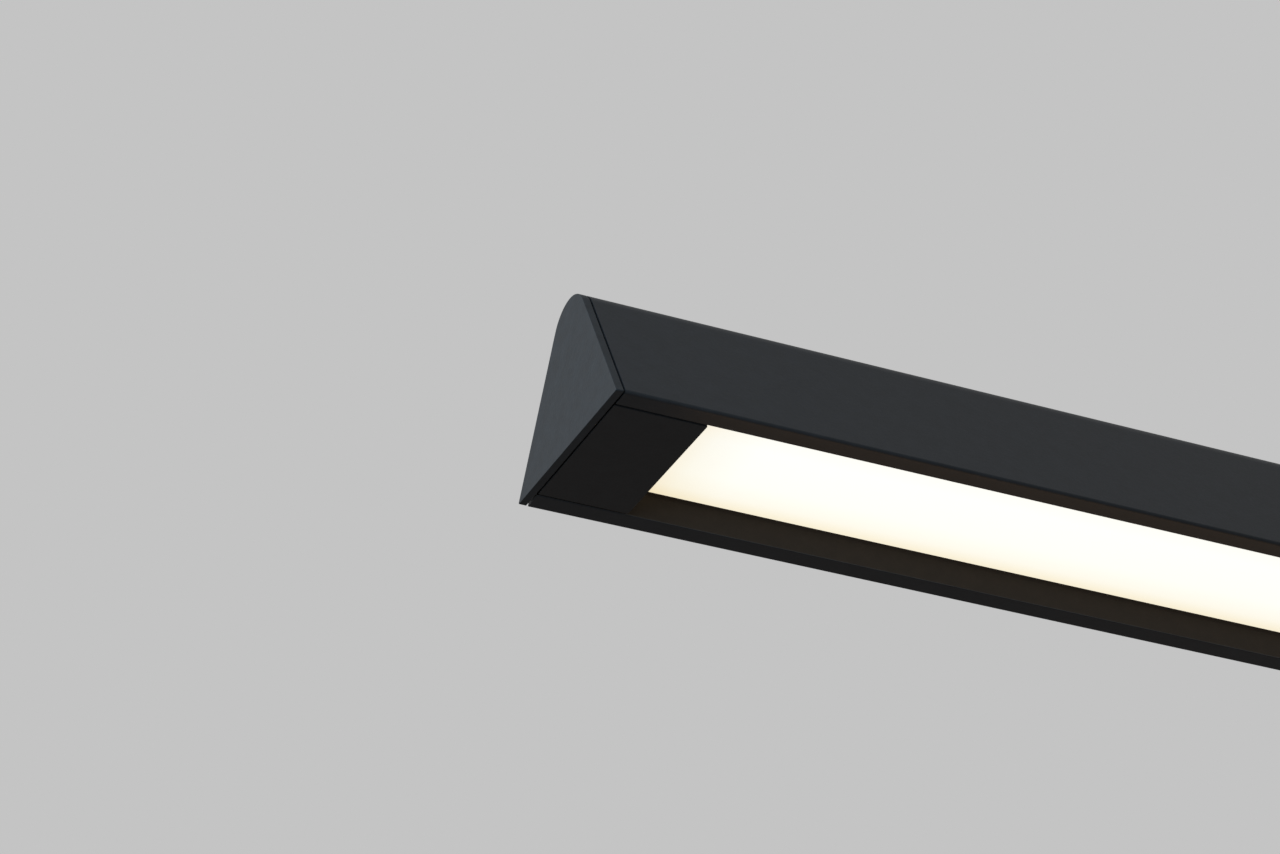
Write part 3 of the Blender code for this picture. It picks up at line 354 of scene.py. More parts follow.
# %% Powder coat
def powder_coat(name, tone, mottle, rough, grain=0.45, height=0.035, ior=1.5):
    # Polyester resin: IOR 1.5, not metallic, roughness 0.45 to 0.6 under its texture.
    material, tree, shader, where = new_material(name, ior, 0.0, rough)
    fine = noise(tree, where, grain, 3.0, Roughness=0.55)
    wide = noise(tree, where, 4.0, 4.0, Roughness=0.6)
    uneven = noise(tree, where, 1.3, 2.0)
    blotches = add_node(tree, "ShaderNodeMath", {"operation": "MULTIPLY_ADD", 1: 0.5},
                        {0: fine.outputs["Fac"], 2: wide.outputs["Fac"]})
    tint = ramp(tree, [(0.45, tone), (1.0, mottle)], blotches.outputs["Value"])
    gloss = gloss_range(tree, rough - 0.06, rough + 0.08, fine.outputs["Fac"])
    skin = bump(tree, 0.25, 0.12, uneven.outputs["Fac"])
    texture = bump(tree, 0.55, height, fine.outputs["Fac"])
    tree.links.new(skin.outputs["Normal"], texture.inputs["Normal"])
    connect(tree, shader, tint, gloss, texture)
    return material


black_coat = powder_coat("black_powder_coat", "191A1C", "212225", 0.52)
cover_coat = powder_coat("black_cover_coat", "1D1B1B", "242222", 0.55)
plate_coat = powder_coat("black_plate_coat", "191A1C", "24272A", 0.56, grain=0.7, height=0.07)
# A flatter, more porous skin reflects less: IOR 1.35, roughness 0.78.
# Its warm brown tones are painted light: the diffuser's warm glow on the recess walls, whose coat is black.
recess_coat_painted_warm_light = powder_coat("matt_recess_black_painted_warm_light", "1E1711", "251D16", 0.78, ior=1.35)
print("powder coats:", black_coat.name, cover_coat.name, plate_coat.name, recess_coat_painted_warm_light.name)

# %% [markdown]
# ## Opal acrylic, lit from behind
# The diffuser is opal acrylic, a milky plastic about 2 mm thick, over a row of warm-white LEDs. Light that
# leaves near its edges has bounced off the tray and the recess, so it is weaker and warmer there. Real LEDs
# behind a scattering volume would take very long to render. Instead the sheet glows by itself, and two
# ramps make that glow fall off across its width and towards its ends.

# %% Opal acrylic
COVER_X = 273.8


def opal_acrylic():
    # Acrylic: IOR 1.49, not metallic, satin roughness 0.35.
    material, tree, shader, where = new_material("opal_acrylic", 1.49, 0.0, 0.35)
    parts = add_node(tree, "ShaderNodeSeparateXYZ", links={"Vector": in_lit_face(tree, where)})
    across = add_node(tree, "ShaderNodeMapRange",
                      {"From Min": 8 * MM, "From Max": 52 * MM}, {"Value": parts.outputs["Y"]})
    along = add_node(tree, "ShaderNodeMath", {"operation": "ABSOLUTE"}, {0: parts.outputs["X"]})
    to_end = add_node(tree, "ShaderNodeMapRange",
                      {"From Min": (COVER_X - 22) * MM, "From Max": COVER_X * MM},
                      {"Value": along.outputs["Value"]})
    width_glow = ramp(tree, [(0.0, "FFF6E2"), (0.10, "FFFCF2"), (0.35, "FFFFFB"), (0.72, "FFFEF6"),
                             (0.90, "FEF9EA"), (1.0, "FAEFD4")], across.outputs["Result"])
    end_glow = ramp(tree, [(0.0, "FFFFFF"), (0.55, "FEFCF6"), (1.0, "FBF1DE")], to_end.outputs["Result"])
    glow = add_node(tree, "ShaderNodeMix", {"data_type": "RGBA", "blend_type": "MULTIPLY", 0: 1.0},
                    {6: width_glow.outputs["Color"], 7: end_glow.outputs["Color"]})
    haze = noise(tree, where, 0.8, 2.0)
    satin = bump(tree, 0.15, 0.02, haze.outputs["Fac"])
    shader.inputs["Base Color"].default_value = colour("D8D2C4")
    shader.inputs["Emission Strength"].default_value = 0.92
    tree.links.new(glow.outputs[2], shader.inputs["Emission Color"])
    connect(tree, shader, relief=satin)
    return material


opal = opal_acrylic()
print("diffuser finish:", opal.name)

# %% [markdown]
# ## The extrusion
# The bar itself is one aluminium extrusion. It has two lips beside the light's recess, a rib on each side
# that the diffuser snaps over, and a web across the middle that carries everything inside.
# Its wall side is open for the wall plate, up to a short flange. The outline is drawn once and drawn out,
# as the press does. The holes in the web are cut afterwards, and their places come from one list of the
# screws that go through it, which the screws themselves use later.

# %% The extrusion's section
SKIN = 2.0
LIP = 6.2
LIP_DEPTH = (LIP - SKIN / SIN60) * TAN60
RIB_LOW, RIB_TOP = 9.6, 10.6
WEB_LOW, WEB_TOP = 19.0, 20.8
FLANGE_REACH = 40.0


def front_u(v, inset=0.0):
    """Where the front face, or a line inside it by inset, is at depth v."""
    return v / TAN60 + inset / SIN60


def both_sides(points):
    """Points on the front half, followed by their mirror images on the wall half."""
    return [*points, *((SIDE - point[0], *point[1:]) for point in reversed(points))]


def apex(inset=0.0):
    return (SIDE / 2, (SIDE / 2 - inset / SIN60) * TAN60)


def wall_side(reach, inset=0.0):
    """A point on the wall side, reach up from its lower corner and inset into the bar."""
    return (SIDE - reach / 2 - inset * SIN60, reach * SIN60 - inset / 2)


rib_tip = front_u(RIB_LOW, SKIN) + 2.0
section = [
    (0, 0, EDGE_RADIUS),
    *both_sides([
        (LIP, 0, 0.3), (LIP, LIP_DEPTH, 1.5), (front_u(RIB_LOW, SKIN), RIB_LOW, 0.2),
        (rib_tip, RIB_LOW, 0.25), (rib_tip, RIB_TOP, 0.25), (front_u(RIB_TOP, SKIN), RIB_TOP, 0.3),
        (front_u(WEB_LOW, SKIN), WEB_LOW, 0.5)]),
    (SIDE, 0, ARRIS),
    (SIDE - front_u(WEB_TOP), WEB_TOP, 0.2),
    (front_u(WEB_TOP, SKIN), WEB_TOP, 0.5),
    (*apex(SKIN), TOP_RADIUS - SKIN),
    (*wall_side(FLANGE_REACH, SKIN), 0.2),
    (*wall_side(FLANGE_REACH), 0.2),
    (*apex(), TOP_RADIUS),
]
profile = drawn_out(section, -BODY_HALF, BODY_HALF, steps=5)
print("section corners:", len(section), "faces:", len(profile.faces))

# %% Holes in the web
CENTRE = SIDE / 2
HOLE_RADIUS = {"M3": 1.8, "M4": 2.3}
LED_LEAD_HOLE = (-267, CENTRE, 2.4)
FIXING = (283, 36.5)     # x and u of a fixing screw and its nut
# Each screw: size, length, the place of its head's seat, and whether its head is behind the web.
SCREW_PLACES = {
    "driver_screw_left": ("M3", 3.4, (-239, CENTRE, 22.6), True),
    "driver_screw_right": ("M3", 3.4, (-31, CENTRE, 22.6), True),
    "terminal_screw": ("M3", 3.7, (67.5, CENTRE, 22.9), True),
    "clamp_screw_front": ("M3", 3.2, (88, CENTRE - 9.15, 22.4), True),
    "clamp_screw_rear": ("M3", 3.2, (88, CENTRE + 9.15, 22.4), True),
    "earth_screw": ("M4", 3.0, (20, CENTRE, 22.2), True),
}
for name, side in (("left", -1), ("right", 1)):
    SCREW_PLACES["end_block_screw_" + name] = ("M3", 9.4, (side * 293.7, 31, 18.7), False)
    SCREW_PLACES["tray_screw_" + name] = ("M3", 3.5, (side * 150, 17.5, 17.6), False)
    SCREW_PLACES["fixing_screw_" + name] = ("M4", 9.1, (side * FIXING[0], FIXING[1], 18.7), False)
web_holes = [(x, u, HOLE_RADIUS[size]) for size, _, (x, u, _), _ in SCREW_PLACES.values()]
web_holes.append(LED_LEAD_HOLE)


def pin(radius, length, place, segments=24):
    """A round cutter square to the lit face, with its middle at place."""
    shape = bmesh.new()
    bmesh.ops.create_cone(shape, cap_ends=True, segments=segments, radius1=radius, radius2=radius,
                          depth=length, matrix=Matrix.Translation(place))
    return shape


drills = join(*[pin(radius, 4, (x, u, (WEB_LOW + WEB_TOP) / 2)) for x, u, radius in web_holes])
profile = cut(profile, drills)
bar = finished(profile, "bar_extrusion", black_coat, ["housing_extrusion"])

# %% [markdown]
# Inside the recess the coat is flat black, so that the walls beside the diffuser stay dark. Its warm brown
# tint is painted light: the diffuser's warm glow on those walls. A second material on the same piece does
# that. Its faces are picked by where they are: past the lips' rounded edges, short of the ribs, and on the
# inner side of the skin.

# %% Flat black, with painted warm light, in the recess
bar.data.materials.append(recess_coat_painted_warm_light)
to_lit = LIT.inverted()
dark_faces = 0
for face in bar.data.polygons:
    middle = to_lit @ face.center
    from_side = min(middle.y, SIDE - middle.y)
    if 0.35 < middle.z < RIB_LOW and from_side > front_u(middle.z, SKIN) - 0.05:
        face.material_index = 1
        dark_faces += 1
print("flat black faces:", dark_faces)

# %% [markdown]
# ## End plates
# Each end is closed by a flat 2 mm plate of the bar's own outline. It stands half a millimetre off the
# extrusion, so a thin dark line runs round the bar there. Two studs welded to its back go through the end
# block, where nuts hold it, so no screw shows. The plate is an outline drawn out, and a small bevel gives
# its rim the soft light line that powder coat always has on a sheet's edge.

# %% End plates
plate_outline = [(0, 0, PLATE_RADIUS), (SIDE, 0, PLATE_RADIUS), (*apex(), TOP_RADIUS)]
STUDS = ((23.0, 25.0), (30.5, 36.5))
for name, side in (("left", -1), ("right", 1)):
    ends = sorted((side * HALF, side * (HALF - END_PLATE)))
    plate = drawn_out(plate_outline, *ends, rim=0.15, steps=8)
    for u, v in STUDS:
        stud = spun([(0, 0), (1.2, 0), (1.5, 0.3), (1.5, 11.7), (1.9, 12.1), (1.9, 12.4), (0, 12.4)], 24,
                    Matrix.Translation((side * (HALF - END_PLATE - 12), u, v))
                    @ Matrix.Rotation(math.radians(90 * side), 4, "Y"))
        plate = join(plate, stud)
    finished(plate, "end_sheet_" + name, plate_coat, ["end_plate_" + name])

# %% [markdown]
# ## Recess covers
# Between the diffuser and each end a flat cover lies flush with the lips. Under it are the screws that hold
# the bar. It is cut from sheet, so its edges are barely rounded, and the narrow gap at each lip reads
# as a dark line.

# %% Recess covers
COVER_FIT = 0.7
for name, side in (("left", -1), ("right", 1)):
    ends = sorted((side * COVER_X, side * BODY_HALF))
    cover = soft_box((ends[0], LIP + COVER_FIT, 0.0), (ends[1], SIDE - LIP - COVER_FIT, 1.5), 0.12)
    finished(cover, "recess_cover_" + name, cover_coat, ["cover_plate_" + name])

# %% [markdown]
# ## Diffuser
# The diffuser is extruded too. Its two legs snap over the ribs with a barb each, so nothing in front of it
# shows how it is held, and its edges are cut to the slope of the walls.

# %% Diffuser
RECESS = 7.3
leg = rib_tip + 0.3
sheet = drawn_out(both_sides([
    (front_u(RECESS, 2.35), RECESS, 0.2), (front_u(RECESS + 2, 2.4), RECESS + 2, 0.2),
    (leg, RECESS + 2, 0.2), (leg, RIB_TOP + 0.3, 0.1), (leg - 1, RIB_TOP + 0.3, 0.15),
    (leg + 0.3, RIB_TOP + 1.5, 0.15), (leg + 0.9, RIB_TOP + 1.5, 0.15), (leg + 0.9, RECESS + 2, 0.3)]),
    -COVER_X, COVER_X, steps=3)
finished(sheet, "opal_sheet", opal, ["diffuser"])

# %% [markdown]
# ## Finishes for metal
# The parts inside are bare or plated metal. What tells them apart is colour, how sharp the reflections are,
# and the marks that their making leaves: rolled and tempered strip is streaked, castings are pitted, plating
# is cloudy. One function covers them all: streaks are noise squeezed along one axis, clouds are wide noise,
# and pits are a bump. Each metal passes its own sizes.

# %% Metal finishes
def bare_metal(name, tone, shade, rough, spread, cloud=5.0, streak=(1, 1, 1), grain=0.5, pit=0.01):
    # A metal: the default IOR, metallic 1, roughness from 0.2 for plating to 0.5 for a casting.
    material, tree, shader, where = new_material(name, 1.5, 1.0, rough)
    squeezed = add_node(tree, "ShaderNodeMapping", {"Scale": streak}, {"Vector": where})
    clouds = noise(tree, where, cloud, 5.0, Roughness=0.6)
    marks = noise(tree, squeezed.outputs["Vector"], grain, 4.0, Roughness=0.65)
    both = add_node(tree, "ShaderNodeMath", {"operation": "MULTIPLY_ADD", 1: 0.5},
                    {0: marks.outputs["Fac"], 2: clouds.outputs["Fac"]})
    tint = ramp(tree, [(0.5, shade), (1.0, tone)], both.outputs["Value"])
    gloss = gloss_range(tree, rough - spread, rough + spread, both.outputs["Value"])
    connect(tree, shader, tint, gloss, bump(tree, 0.4, pit, marks.outputs["Fac"]))
    return material


zinc_plating = bare_metal("clear_zinc_plating", "CED2D6", "A9AEB5", 0.27, 0.09, cloud=3.0, grain=0.35)
cast_aluminium = bare_metal("die_cast_aluminium", "C2C3C4", "8F9194", 0.46, 0.08, grain=0.8, pit=0.06)
spring_strip = bare_metal("tempered_spring_strip", "8E8F93", "5B5C63", 0.30, 0.10,
                          streak=(0.05, 1, 1), grain=0.3)
brass = bare_metal("plain_brass", "D9B36A", "A8803C", 0.28, 0.10, cloud=2.5, grain=0.4)
print("metals:", zinc_plating.name, cast_aluminium.name, spring_strip.name, brass.name)

# %% [markdown]
# The wall plate and the brackets are stamped from hot-dip galvanised sheet. Zinc freezes in flat crystals
# some 8 mm across, each with its own tone. A Voronoi texture gives exactly such cells, with one random
# colour to a cell, and only the brightness of that colour is used.

# %% Galvanised sheet
def galvanised(name, crystal=8.0):
    # Zinc: the default IOR, metallic 1, roughness 0.3 to 0.45 from crystal to crystal.
    material, tree, shader, where = new_material(name, 1.5, 1.0, 0.38)
    ragged = noise(tree, where, 2.5, 3.0)
    shift = add_node(tree, "ShaderNodeVectorMath", {"operation": "SCALE", "Scale": 2.2 * MM},
                     {0: ragged.outputs["Color"]})
    bent = add_node(tree, "ShaderNodeVectorMath", {"operation": "ADD"},
                    {0: where, 1: shift.outputs["Vector"]})
    crystals = add_node(tree, "ShaderNodeTexVoronoi", {"Scale": per_metre(crystal)},
                        {"Vector": bent.outputs["Vector"]})
    shade = add_node(tree, "ShaderNodeSeparateXYZ", links={"Vector": crystals.outputs["Color"]})
    tint = ramp(tree, [(0.0, "9DA1A5"), (0.5, "B2B5B8"), (1.0, "C6C9CC")], shade.outputs["X"])
    gloss = gloss_range(tree, 0.30, 0.46, shade.outputs["Y"])
    connect(tree, shader, tint, gloss, bump(tree, 0.2, 0.03, ragged.outputs["Fac"]))
    return material


galvanised_sheet = galvanised("galvanised_sheet")
print("sheet:", galvanised_sheet.name)

# %% [markdown]
# ## Finishes for plastic, rubber and foam
# Moulded plastic shows a faint spark-eroded grain, about a third of a millimetre wide, and flow marks that
# change its gloss a little. Rubber is the same idea with more grain and less gloss. Foam is made of cells,
# so its bump comes from a Voronoi texture in place of noise.

# %% Plastic, rubber and foam
def moulded(name, tone, shade, rough, ior=1.53, grain=0.35, height=0.012, cells=0.0):
    # A dielectric: metallic 0, IOR 1.46 to 1.58, roughness 0.3 for PVC to 0.9 for foam.
    material, tree, shader, where = new_material(name, ior, 0.0, rough)
    flow = noise(tree, where, 6.0, 4.0, Distortion=0.8)
    fine = noise(tree, where, grain, 3.0)
    tint = ramp(tree, [(0.3, shade), (0.7, tone)], flow.outputs["Fac"])
    gloss = gloss_range(tree, rough - 0.06, rough + 0.06, flow.outputs["Fac"])
    relief = bump(tree, 0.5, height, fine.outputs["Fac"])
    if cells:
        holes = add_node(tree, "ShaderNodeTexVoronoi", {"Scale": per_metre(cells)}, {"Vector": where})
        tree.links.new(holes.outputs["Distance"], relief.inputs["Height"])
    connect(tree, shader, tint, gloss, relief)
    return material


case_white = moulded("white_polycarbonate", "E6E5E0", "DEDCD5", 0.42, ior=1.58)
clamp_grey = moulded("grey_polyamide", "B3B4B3", "A6A7A7", 0.48)
foam = moulded("black_cell_foam", "1C1C1D", "121213", 0.92, ior=1.46, height=0.2, cells=0.7)
rubber = moulded("black_rubber", "202021", "171718", 0.68, ior=1.52, grain=0.6, height=0.03)
tape_grey = moulded("grey_thermal_tape", "8C8F94", "7E8187", 0.72, grain=1.0, height=0.05)
winding_tape = moulded("yellow_winding_tape", "E0B53E", "C99A2C", 0.36, height=0.03)
sleeve = moulded("dark_capacitor_sleeve", "2B2D38", "22242D", 0.30, height=0.006)
chip_black = moulded("chip_epoxy", "1B1B1C", "131314", 0.55, grain=0.25)
tray_paint = powder_coat("white_tray_paint", "E7E7E4", "F1F1EE", 0.45, grain=0.5, height=0.02)
button_finish = {
    "live": moulded("brown_button", "6B4128", "5C3721", 0.38),
    "neutral": moulded("blue_button", "2C66A8", "255A98", 0.38),
    "earth": moulded("green_button", "3C8C43", "337C3A", 0.38),
}
print("plastics ready")

# %% [markdown]
# Wires are insulated with PVC, glossier than the other plastics. The earth wire is green with a yellow
# stripe. The stripe runs lengthwise, so it can't come from a position: where the surface points to one side
# it is yellow, and elsewhere green, which follows the wire round every bend.

# %% Wire insulation
def striped_pvc(name, tone, stripe):
    # PVC: IOR 1.54, not metallic, roughness 0.33.
    material, tree, shader, where = new_material(name, 1.54, 0.0, 0.33)
    facing = add_node(tree, "ShaderNodeTexCoord").outputs["Normal"]
    parts = add_node(tree, "ShaderNodeSeparateXYZ", links={"Vector": facing})
    side = add_node(tree, "ShaderNodeMath", {"operation": "ABSOLUTE"}, {0: parts.outputs["Z"]})
    bands = ramp(tree, [(0.0, tone), (0.62, tone), (0.68, stripe), (1.0, stripe)], side.outputs["Value"])
    skin = noise(tree, where, 0.5, 2.0)
    connect(tree, shader, bands, relief=bump(tree, 0.3, 0.015, skin.outputs["Fac"]))
    return material


wire_finish = {
    "lead_live": moulded("brown_pvc", "6A3F27", "5E3722", 0.33, ior=1.54),
    "lead_neutral": moulded("blue_pvc", "2F6FB5", "2963A5", 0.33, ior=1.54),
    "lead_earth": striped_pvc("green_yellow_pvc", "2E8B3E", "E3C62B"),
    "led_lead_positive": moulded("red_pvc", "B4282A", "A12224", 0.33, ior=1.54),
    "led_lead_negative": moulded("black_pvc", "1E1E20", "161618", 0.33, ior=1.54),
}
wire_finish["board_link_positive"] = wire_finish["led_lead_positive"]
wire_finish["board_link_negative"] = wire_finish["led_lead_negative"]
print("wires:", sorted(wire_finish))

# %% [markdown]
# Both circuit boards are glass fibre under solder mask, green in the driver and white under the LEDs. Copper
# tracks lie under the mask and show as slightly raised, paler bands. A brick pattern, with its joints as the
# gaps between tracks, reads as a layout without copying any real one.

# %% Circuit boards
def solder_mask(name, tone, track, gap, rough=0.35):
    # Epoxy mask: IOR 1.52, not metallic, roughness 0.35.
    material, tree, shader, where = new_material(name, 1.52, 0.0, rough)
    tracks = add_node(tree, "ShaderNodeTexBrick",
                      {"Scale": 1 / MM, "Brick Width": 8.0, "Row Height": 2.7, "Mortar Size": 0.22,
                       "Mortar Smooth": 0.2, "Color1": colour(tone), "Color2": colour(track),
                       "Mortar": colour(gap)}, {"Vector": in_lit_face(tree, where)})
    connect(tree, shader, tracks, relief=bump(tree, 0.5, 0.035, tracks.outputs["Fac"], invert=True))
    return material


def phosphor_gel():
    # Silicone with phosphor: IOR 1.41, not metallic, roughness 0.25.
    material, tree, shader, where = new_material("led_phosphor", 1.41, 0.0, 0.25)
    powder = noise(tree, where, 0.25, 3.0)
    tint = ramp(tree, [(0.3, "E8C24A"), (0.7, "F2D569")], powder.outputs["Fac"])
    connect(tree, shader, tint)
    tree.links.new(tint.outputs["Color"], shader.inputs["Emission Color"])
    shader.inputs["Emission Strength"].default_value = 0.6
    return material


driver_mask = solder_mask("green_solder_mask", "1F6B3C", "2A7C49", "175431")
led_mask = solder_mask("white_solder_mask", "EDEDEA", "E4E4E0", "DADAD6", 0.3)
phosphor = phosphor_gel()
solder = bare_metal("tin_solder", "D0D2D4", "B0B3B6", 0.25, 0.08, cloud=1.0, grain=0.3)
print("boards:", driver_mask.name, led_mask.name)

# %% [markdown]
# ## Softening a ready-made solid
# Many parts inside are brackets, blocks and trays whose CAD solids have the right shape already, only with
# knife-sharp edges, while a real edge catches a thin line of light. Drawing them again would only repeat
# their sizes. So each solid is copied, its loose triangles are merged, its flat areas become whole faces
# again, and its sharp edges are bevelled.

# %% Softened copies
def cad_copy(node):
    """A merged copy of a CAD solid, in the lit face's own millimetres."""
    shape = bmesh.new()
    shape.from_mesh(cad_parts[node].data)
    bmesh.ops.transform(shape, matrix=LIT.inverted(), verts=shape.verts)
    bmesh.ops.remove_doubles(shape, verts=shape.verts, dist=0.002)
    return shape


def softened(node, edge, segments=2, angle=40):
    shape = cad_copy(node)
    bmesh.ops.dissolve_limit(shape, angle_limit=math.radians(1), verts=shape.verts, edges=shape.edges)
    sharp = [item for item in shape.edges
             if len(item.link_faces) == 2 and item.calc_face_angle() > math.radians(angle)]
    bmesh.ops.bevel(shape, geom=sharp, offset=edge, offset_type="OFFSET", segments=segments,
                    profile=0.5, affect="EDGES", material=-1, clamp_overlap=True)
    return shape


def soft_copy(node, name, finish, edge, segments=2, angle=40):
    return finished(softened(node, edge, segments, angle), name, finish, [node])


for side in ("left", "right"):
    soft_copy("end_block_" + side, "end_casting_" + side, cast_aluminium, 0.35, 3)
    soft_copy("cover_clip_" + side, "cover_spring_" + side, spring_strip, 0.08)
    soft_copy("fixing_bracket_" + side, "hanging_bracket_" + side, galvanised_sheet, 0.2)

# %% [markdown]
# ## Wall plate and grommet
# The wall plate is a long stamped strip with two hooks, two slots for wall screws and a hole for the cable.
# It is a softened copy too. The rubber grommet in its hole is turned: one profile spun round its axis, with
# a groove that grips the sheet's edge and a soft outer lip.

# %% Wall plate and grommet
soft_copy("wall_plate", "wall_strip", galvanised_sheet, 0.2)
grommet = spun([(3.5, 1.6), (3.8, 1.85), (4.4, 1.9), (5.6, 1.9), (6.2, 1.7), (6.5, 1.2), (6.5, 0.6),
                (6.3, 0.3), (4.7, 0.3), (4.5, 0.1), (4.5, -1.1), (4.3, -1.4), (3.8, -1.4), (3.5, -1.1),
                (3.5, 1.6)], 48,
               Matrix.Translation((112, -1.5, 0)) @ Matrix.Rotation(math.radians(90), 4, "X"))
finished(grommet, "cable_grommet_ring", rubber, ["cable_grommet"], place=WALL)

# %% [markdown]
# ## Screws and nuts
# All screws are pan heads with a cross recess, 3 or 4 mm across the thread. One profile is spun for head and
# thread, and two crossed wedges cut the recess. The thread is drawn as plain rings, 0.6 mm apart, because a
# true helix looks the same from any distance and costs far more faces. Each nut is a hexagon that meets a
# lens shape, which gives it the arcs that turned corners leave.

# %% Screw and nut shapes
SCREWS = {"M3": (2.6, 1.8, 1.5), "M4": (3.7, 2.4, 2.0)}      # head radius, head height, thread radius


def screw_shape(size, length, matrix):
    head, height, radius = SCREWS[size]
    thread, pitch = [], 0.6
    for turn in range(int((length - 0.7) / pitch)):
        crest = -0.2 - turn * pitch
        thread += [(radius, crest), (radius - 0.25, crest - pitch / 2)]
    shape = spun([(0, height), (head * 0.5, height), (head * 0.8, height * 0.86), (head * 0.95, height * 0.6),
                  (head, height * 0.3), (head, 0.15), (head - 0.1, 0), (radius, 0), *thread,
                  (radius - 0.1, 0.45 - length), (radius - 0.5, -length), (0, -length)], 20)
    bmesh.ops.recalc_face_normals(shape, faces=shape.faces)
    arms = []
    for long_way in (0, 1):
        reach = (head * 0.62, head * 0.13) if long_way else (head * 0.13, head * 0.62)
        arm = soft_box((-reach[0], -reach[1], height * 0.4), (reach[0], reach[1], height + 1), 0)
        tip = [vert for vert in arm.verts if vert.co.z < height]
        bmesh.ops.scale(arm, vec=(0.55, 0.55, 1), verts=tip)
        arms.append(arm)
    shape = cut(shape, *arms)
    bmesh.ops.transform(shape, matrix=matrix, verts=shape.verts)
    return shape


def nut_shape(across, height, bore, matrix):
    corner = across / 2 / math.cos(math.radians(30))
    hexagon = bmesh.new()
    bmesh.ops.create_cone(hexagon, cap_ends=True, segments=6, radius1=corner, radius2=corner, depth=height)
    lens = spun([(0, -height / 2), (across * 0.47, -height / 2), (corner, -height / 2 + 0.4),
                 (corner, height / 2 - 0.4), (across * 0.47, height / 2), (0, height / 2)], 36)
    shape = cut(hexagon, lens, operation="INTERSECT")
    thread = spun([(0, -height), (bore + 0.3, -height), (bore + 0.3, -height / 2 - 0.01),
                   (bore, 0.3 - height / 2), (bore, height / 2 - 0.3), (bore + 0.3, height / 2 + 0.01),
                   (bore + 0.3, height), (0, height)], 24)
    shape = cut(shape, thread)
    bmesh.ops.transform(shape, matrix=matrix, verts=shape.verts)
    return shape


print("screw sizes:", SCREWS)

# %% Screws and nuts in place
HEAD_DOWN = Matrix.Rotation(math.radians(180), 4, "X")
for node, (size, length, place, upright) in SCREW_PLACES.items():
    matrix = Matrix.Translation(place) @ (Matrix.Identity(4) if upright else HEAD_DOWN)
    metal, slot = (brass, "brass_plain") if node == "earth_screw" else (zinc_plating, "zinc_steel")
    finished(screw_shape(size, length, matrix), "pan_head_" + node, metal, [node])

ON_SIDE = Matrix.Rotation(math.radians(90), 4, "Y")
for name, side in (("left", -1), ("right", 1)):
    for level, (u, v) in zip(("lower", "upper"), STUDS):
        place = Matrix.Translation((side * 288.2, u, v)) @ ON_SIDE
        finished(nut_shape(5.5, 2.4, 1.8, place), f"stud_nut_{name}_{level}", zinc_plating,
                 [f"end_nut_{name}_{level}"])
    finished(nut_shape(7, 3.2, 2.3, Matrix.Translation((side * FIXING[0], FIXING[1], 24.5))),
             "bracket_nut_" + name, zinc_plating, ["fixing_nut_" + name])

# %% [markdown]
# ## Light tray, boards and stops
# A white sheet tray spreads the LEDs' heat and reflects stray light. Two boards are taped to it, with foam
# stops at the ends so that no light leaks past the covers. Each LED is a white package with a
# sunk, yellow window: a small box whose face is inset and pushed in. There are 62 of them, so each one
# has only some 20 faces.

# %% Light tray, boards and stops
soft_copy("led_tray", "light_tray", tray_paint, 0.12)
for side in ("left", "right"):
    soft_copy("light_stop_" + side, "foam_stop_" + side, foam, 0.3)
    soft_copy("thermal_tape_" + side, "heat_tape_" + side, tape_grey, 0.08, 1)


def led_package(x):
    """One LED on its two pads, with its window on the side of the light chamber."""
    package = soft_box((x - 1.5, 28.5, 14.5), (x + 1.5, 31.5, 15.25), 0)
    upright = [edge for edge in package.edges if abs(edge.verts[0].co.z - edge.verts[1].co.z) > 0.1]
    bmesh.ops.bevel(package, geom=upright, offset=0.2, offset_type="OFFSET", segments=1, profile=0.5,
                    affect="EDGES", material=-1)
    window = min(package.faces, key=lambda face: face.calc_center_median().z)
    bmesh.ops.inset_region(package, faces=[window], thickness=0.35, depth=-0.12)
    window.material_index = 1
    pads = [soft_box((x + way * 1.75 - 0.3, 28.8, 15.1), (x + way * 1.75 + 0.3, 31.2, 15.25), 0)
            for way in (-1, 1)]
    for pad in pads:
        for face in pad.faces:
            face.material_index = 2
    return join(package, *pads)


for name, side in (("left", -1), ("right", 1)):
    ends = sorted((side * 1.5, side * 262))
    board = soft_box((ends[0], 22, 15.2), (ends[1], 38, 16.8), 0.12, 2)
    board = join(board, *[led_package(side * (11.75 + 8 * index)) for index in range(31)])
    piece = finished(board, "led_strip_" + name, led_mask, ["led_board_" + name])
    piece.data.materials.append(phosphor)
    piece.data.materials.append(solder)

# %% [markdown]
# ## LED driver
# The driver is a narrow snap-together case with a board, a taped transformer and a capacitor. Case and
# transformer are softened copies. The capacitor is spun, with the groove that its can is crimped at.
# The board gets a row of small black chips with tin ends.

# %% Driver
soft_copy("driver_base", "driver_tub", case_white, 0.25)
soft_copy("driver_lid", "driver_cap", case_white, 0.25)
soft_copy("driver_transformer", "taped_transformer", winding_tape, 0.3, 3)
can = spun([(0, 11.7), (1.6, 11.7), (1.8, 12.0), (2.3, 12.0), (2.6, 11.8), (2.7, 11.5), (2.7, 2.5),
            (2.55, 2.2), (2.4, 2.0), (2.55, 1.8), (2.7, 1.5), (2.7, 0.3), (2.5, 0.1), (2.2, 0.0), (0, 0)], 32,
           Matrix.Translation((-75, 30, 27.5)) @ ON_SIDE)
finished(can, "driver_can", sleeve, ["driver_capacitor"])

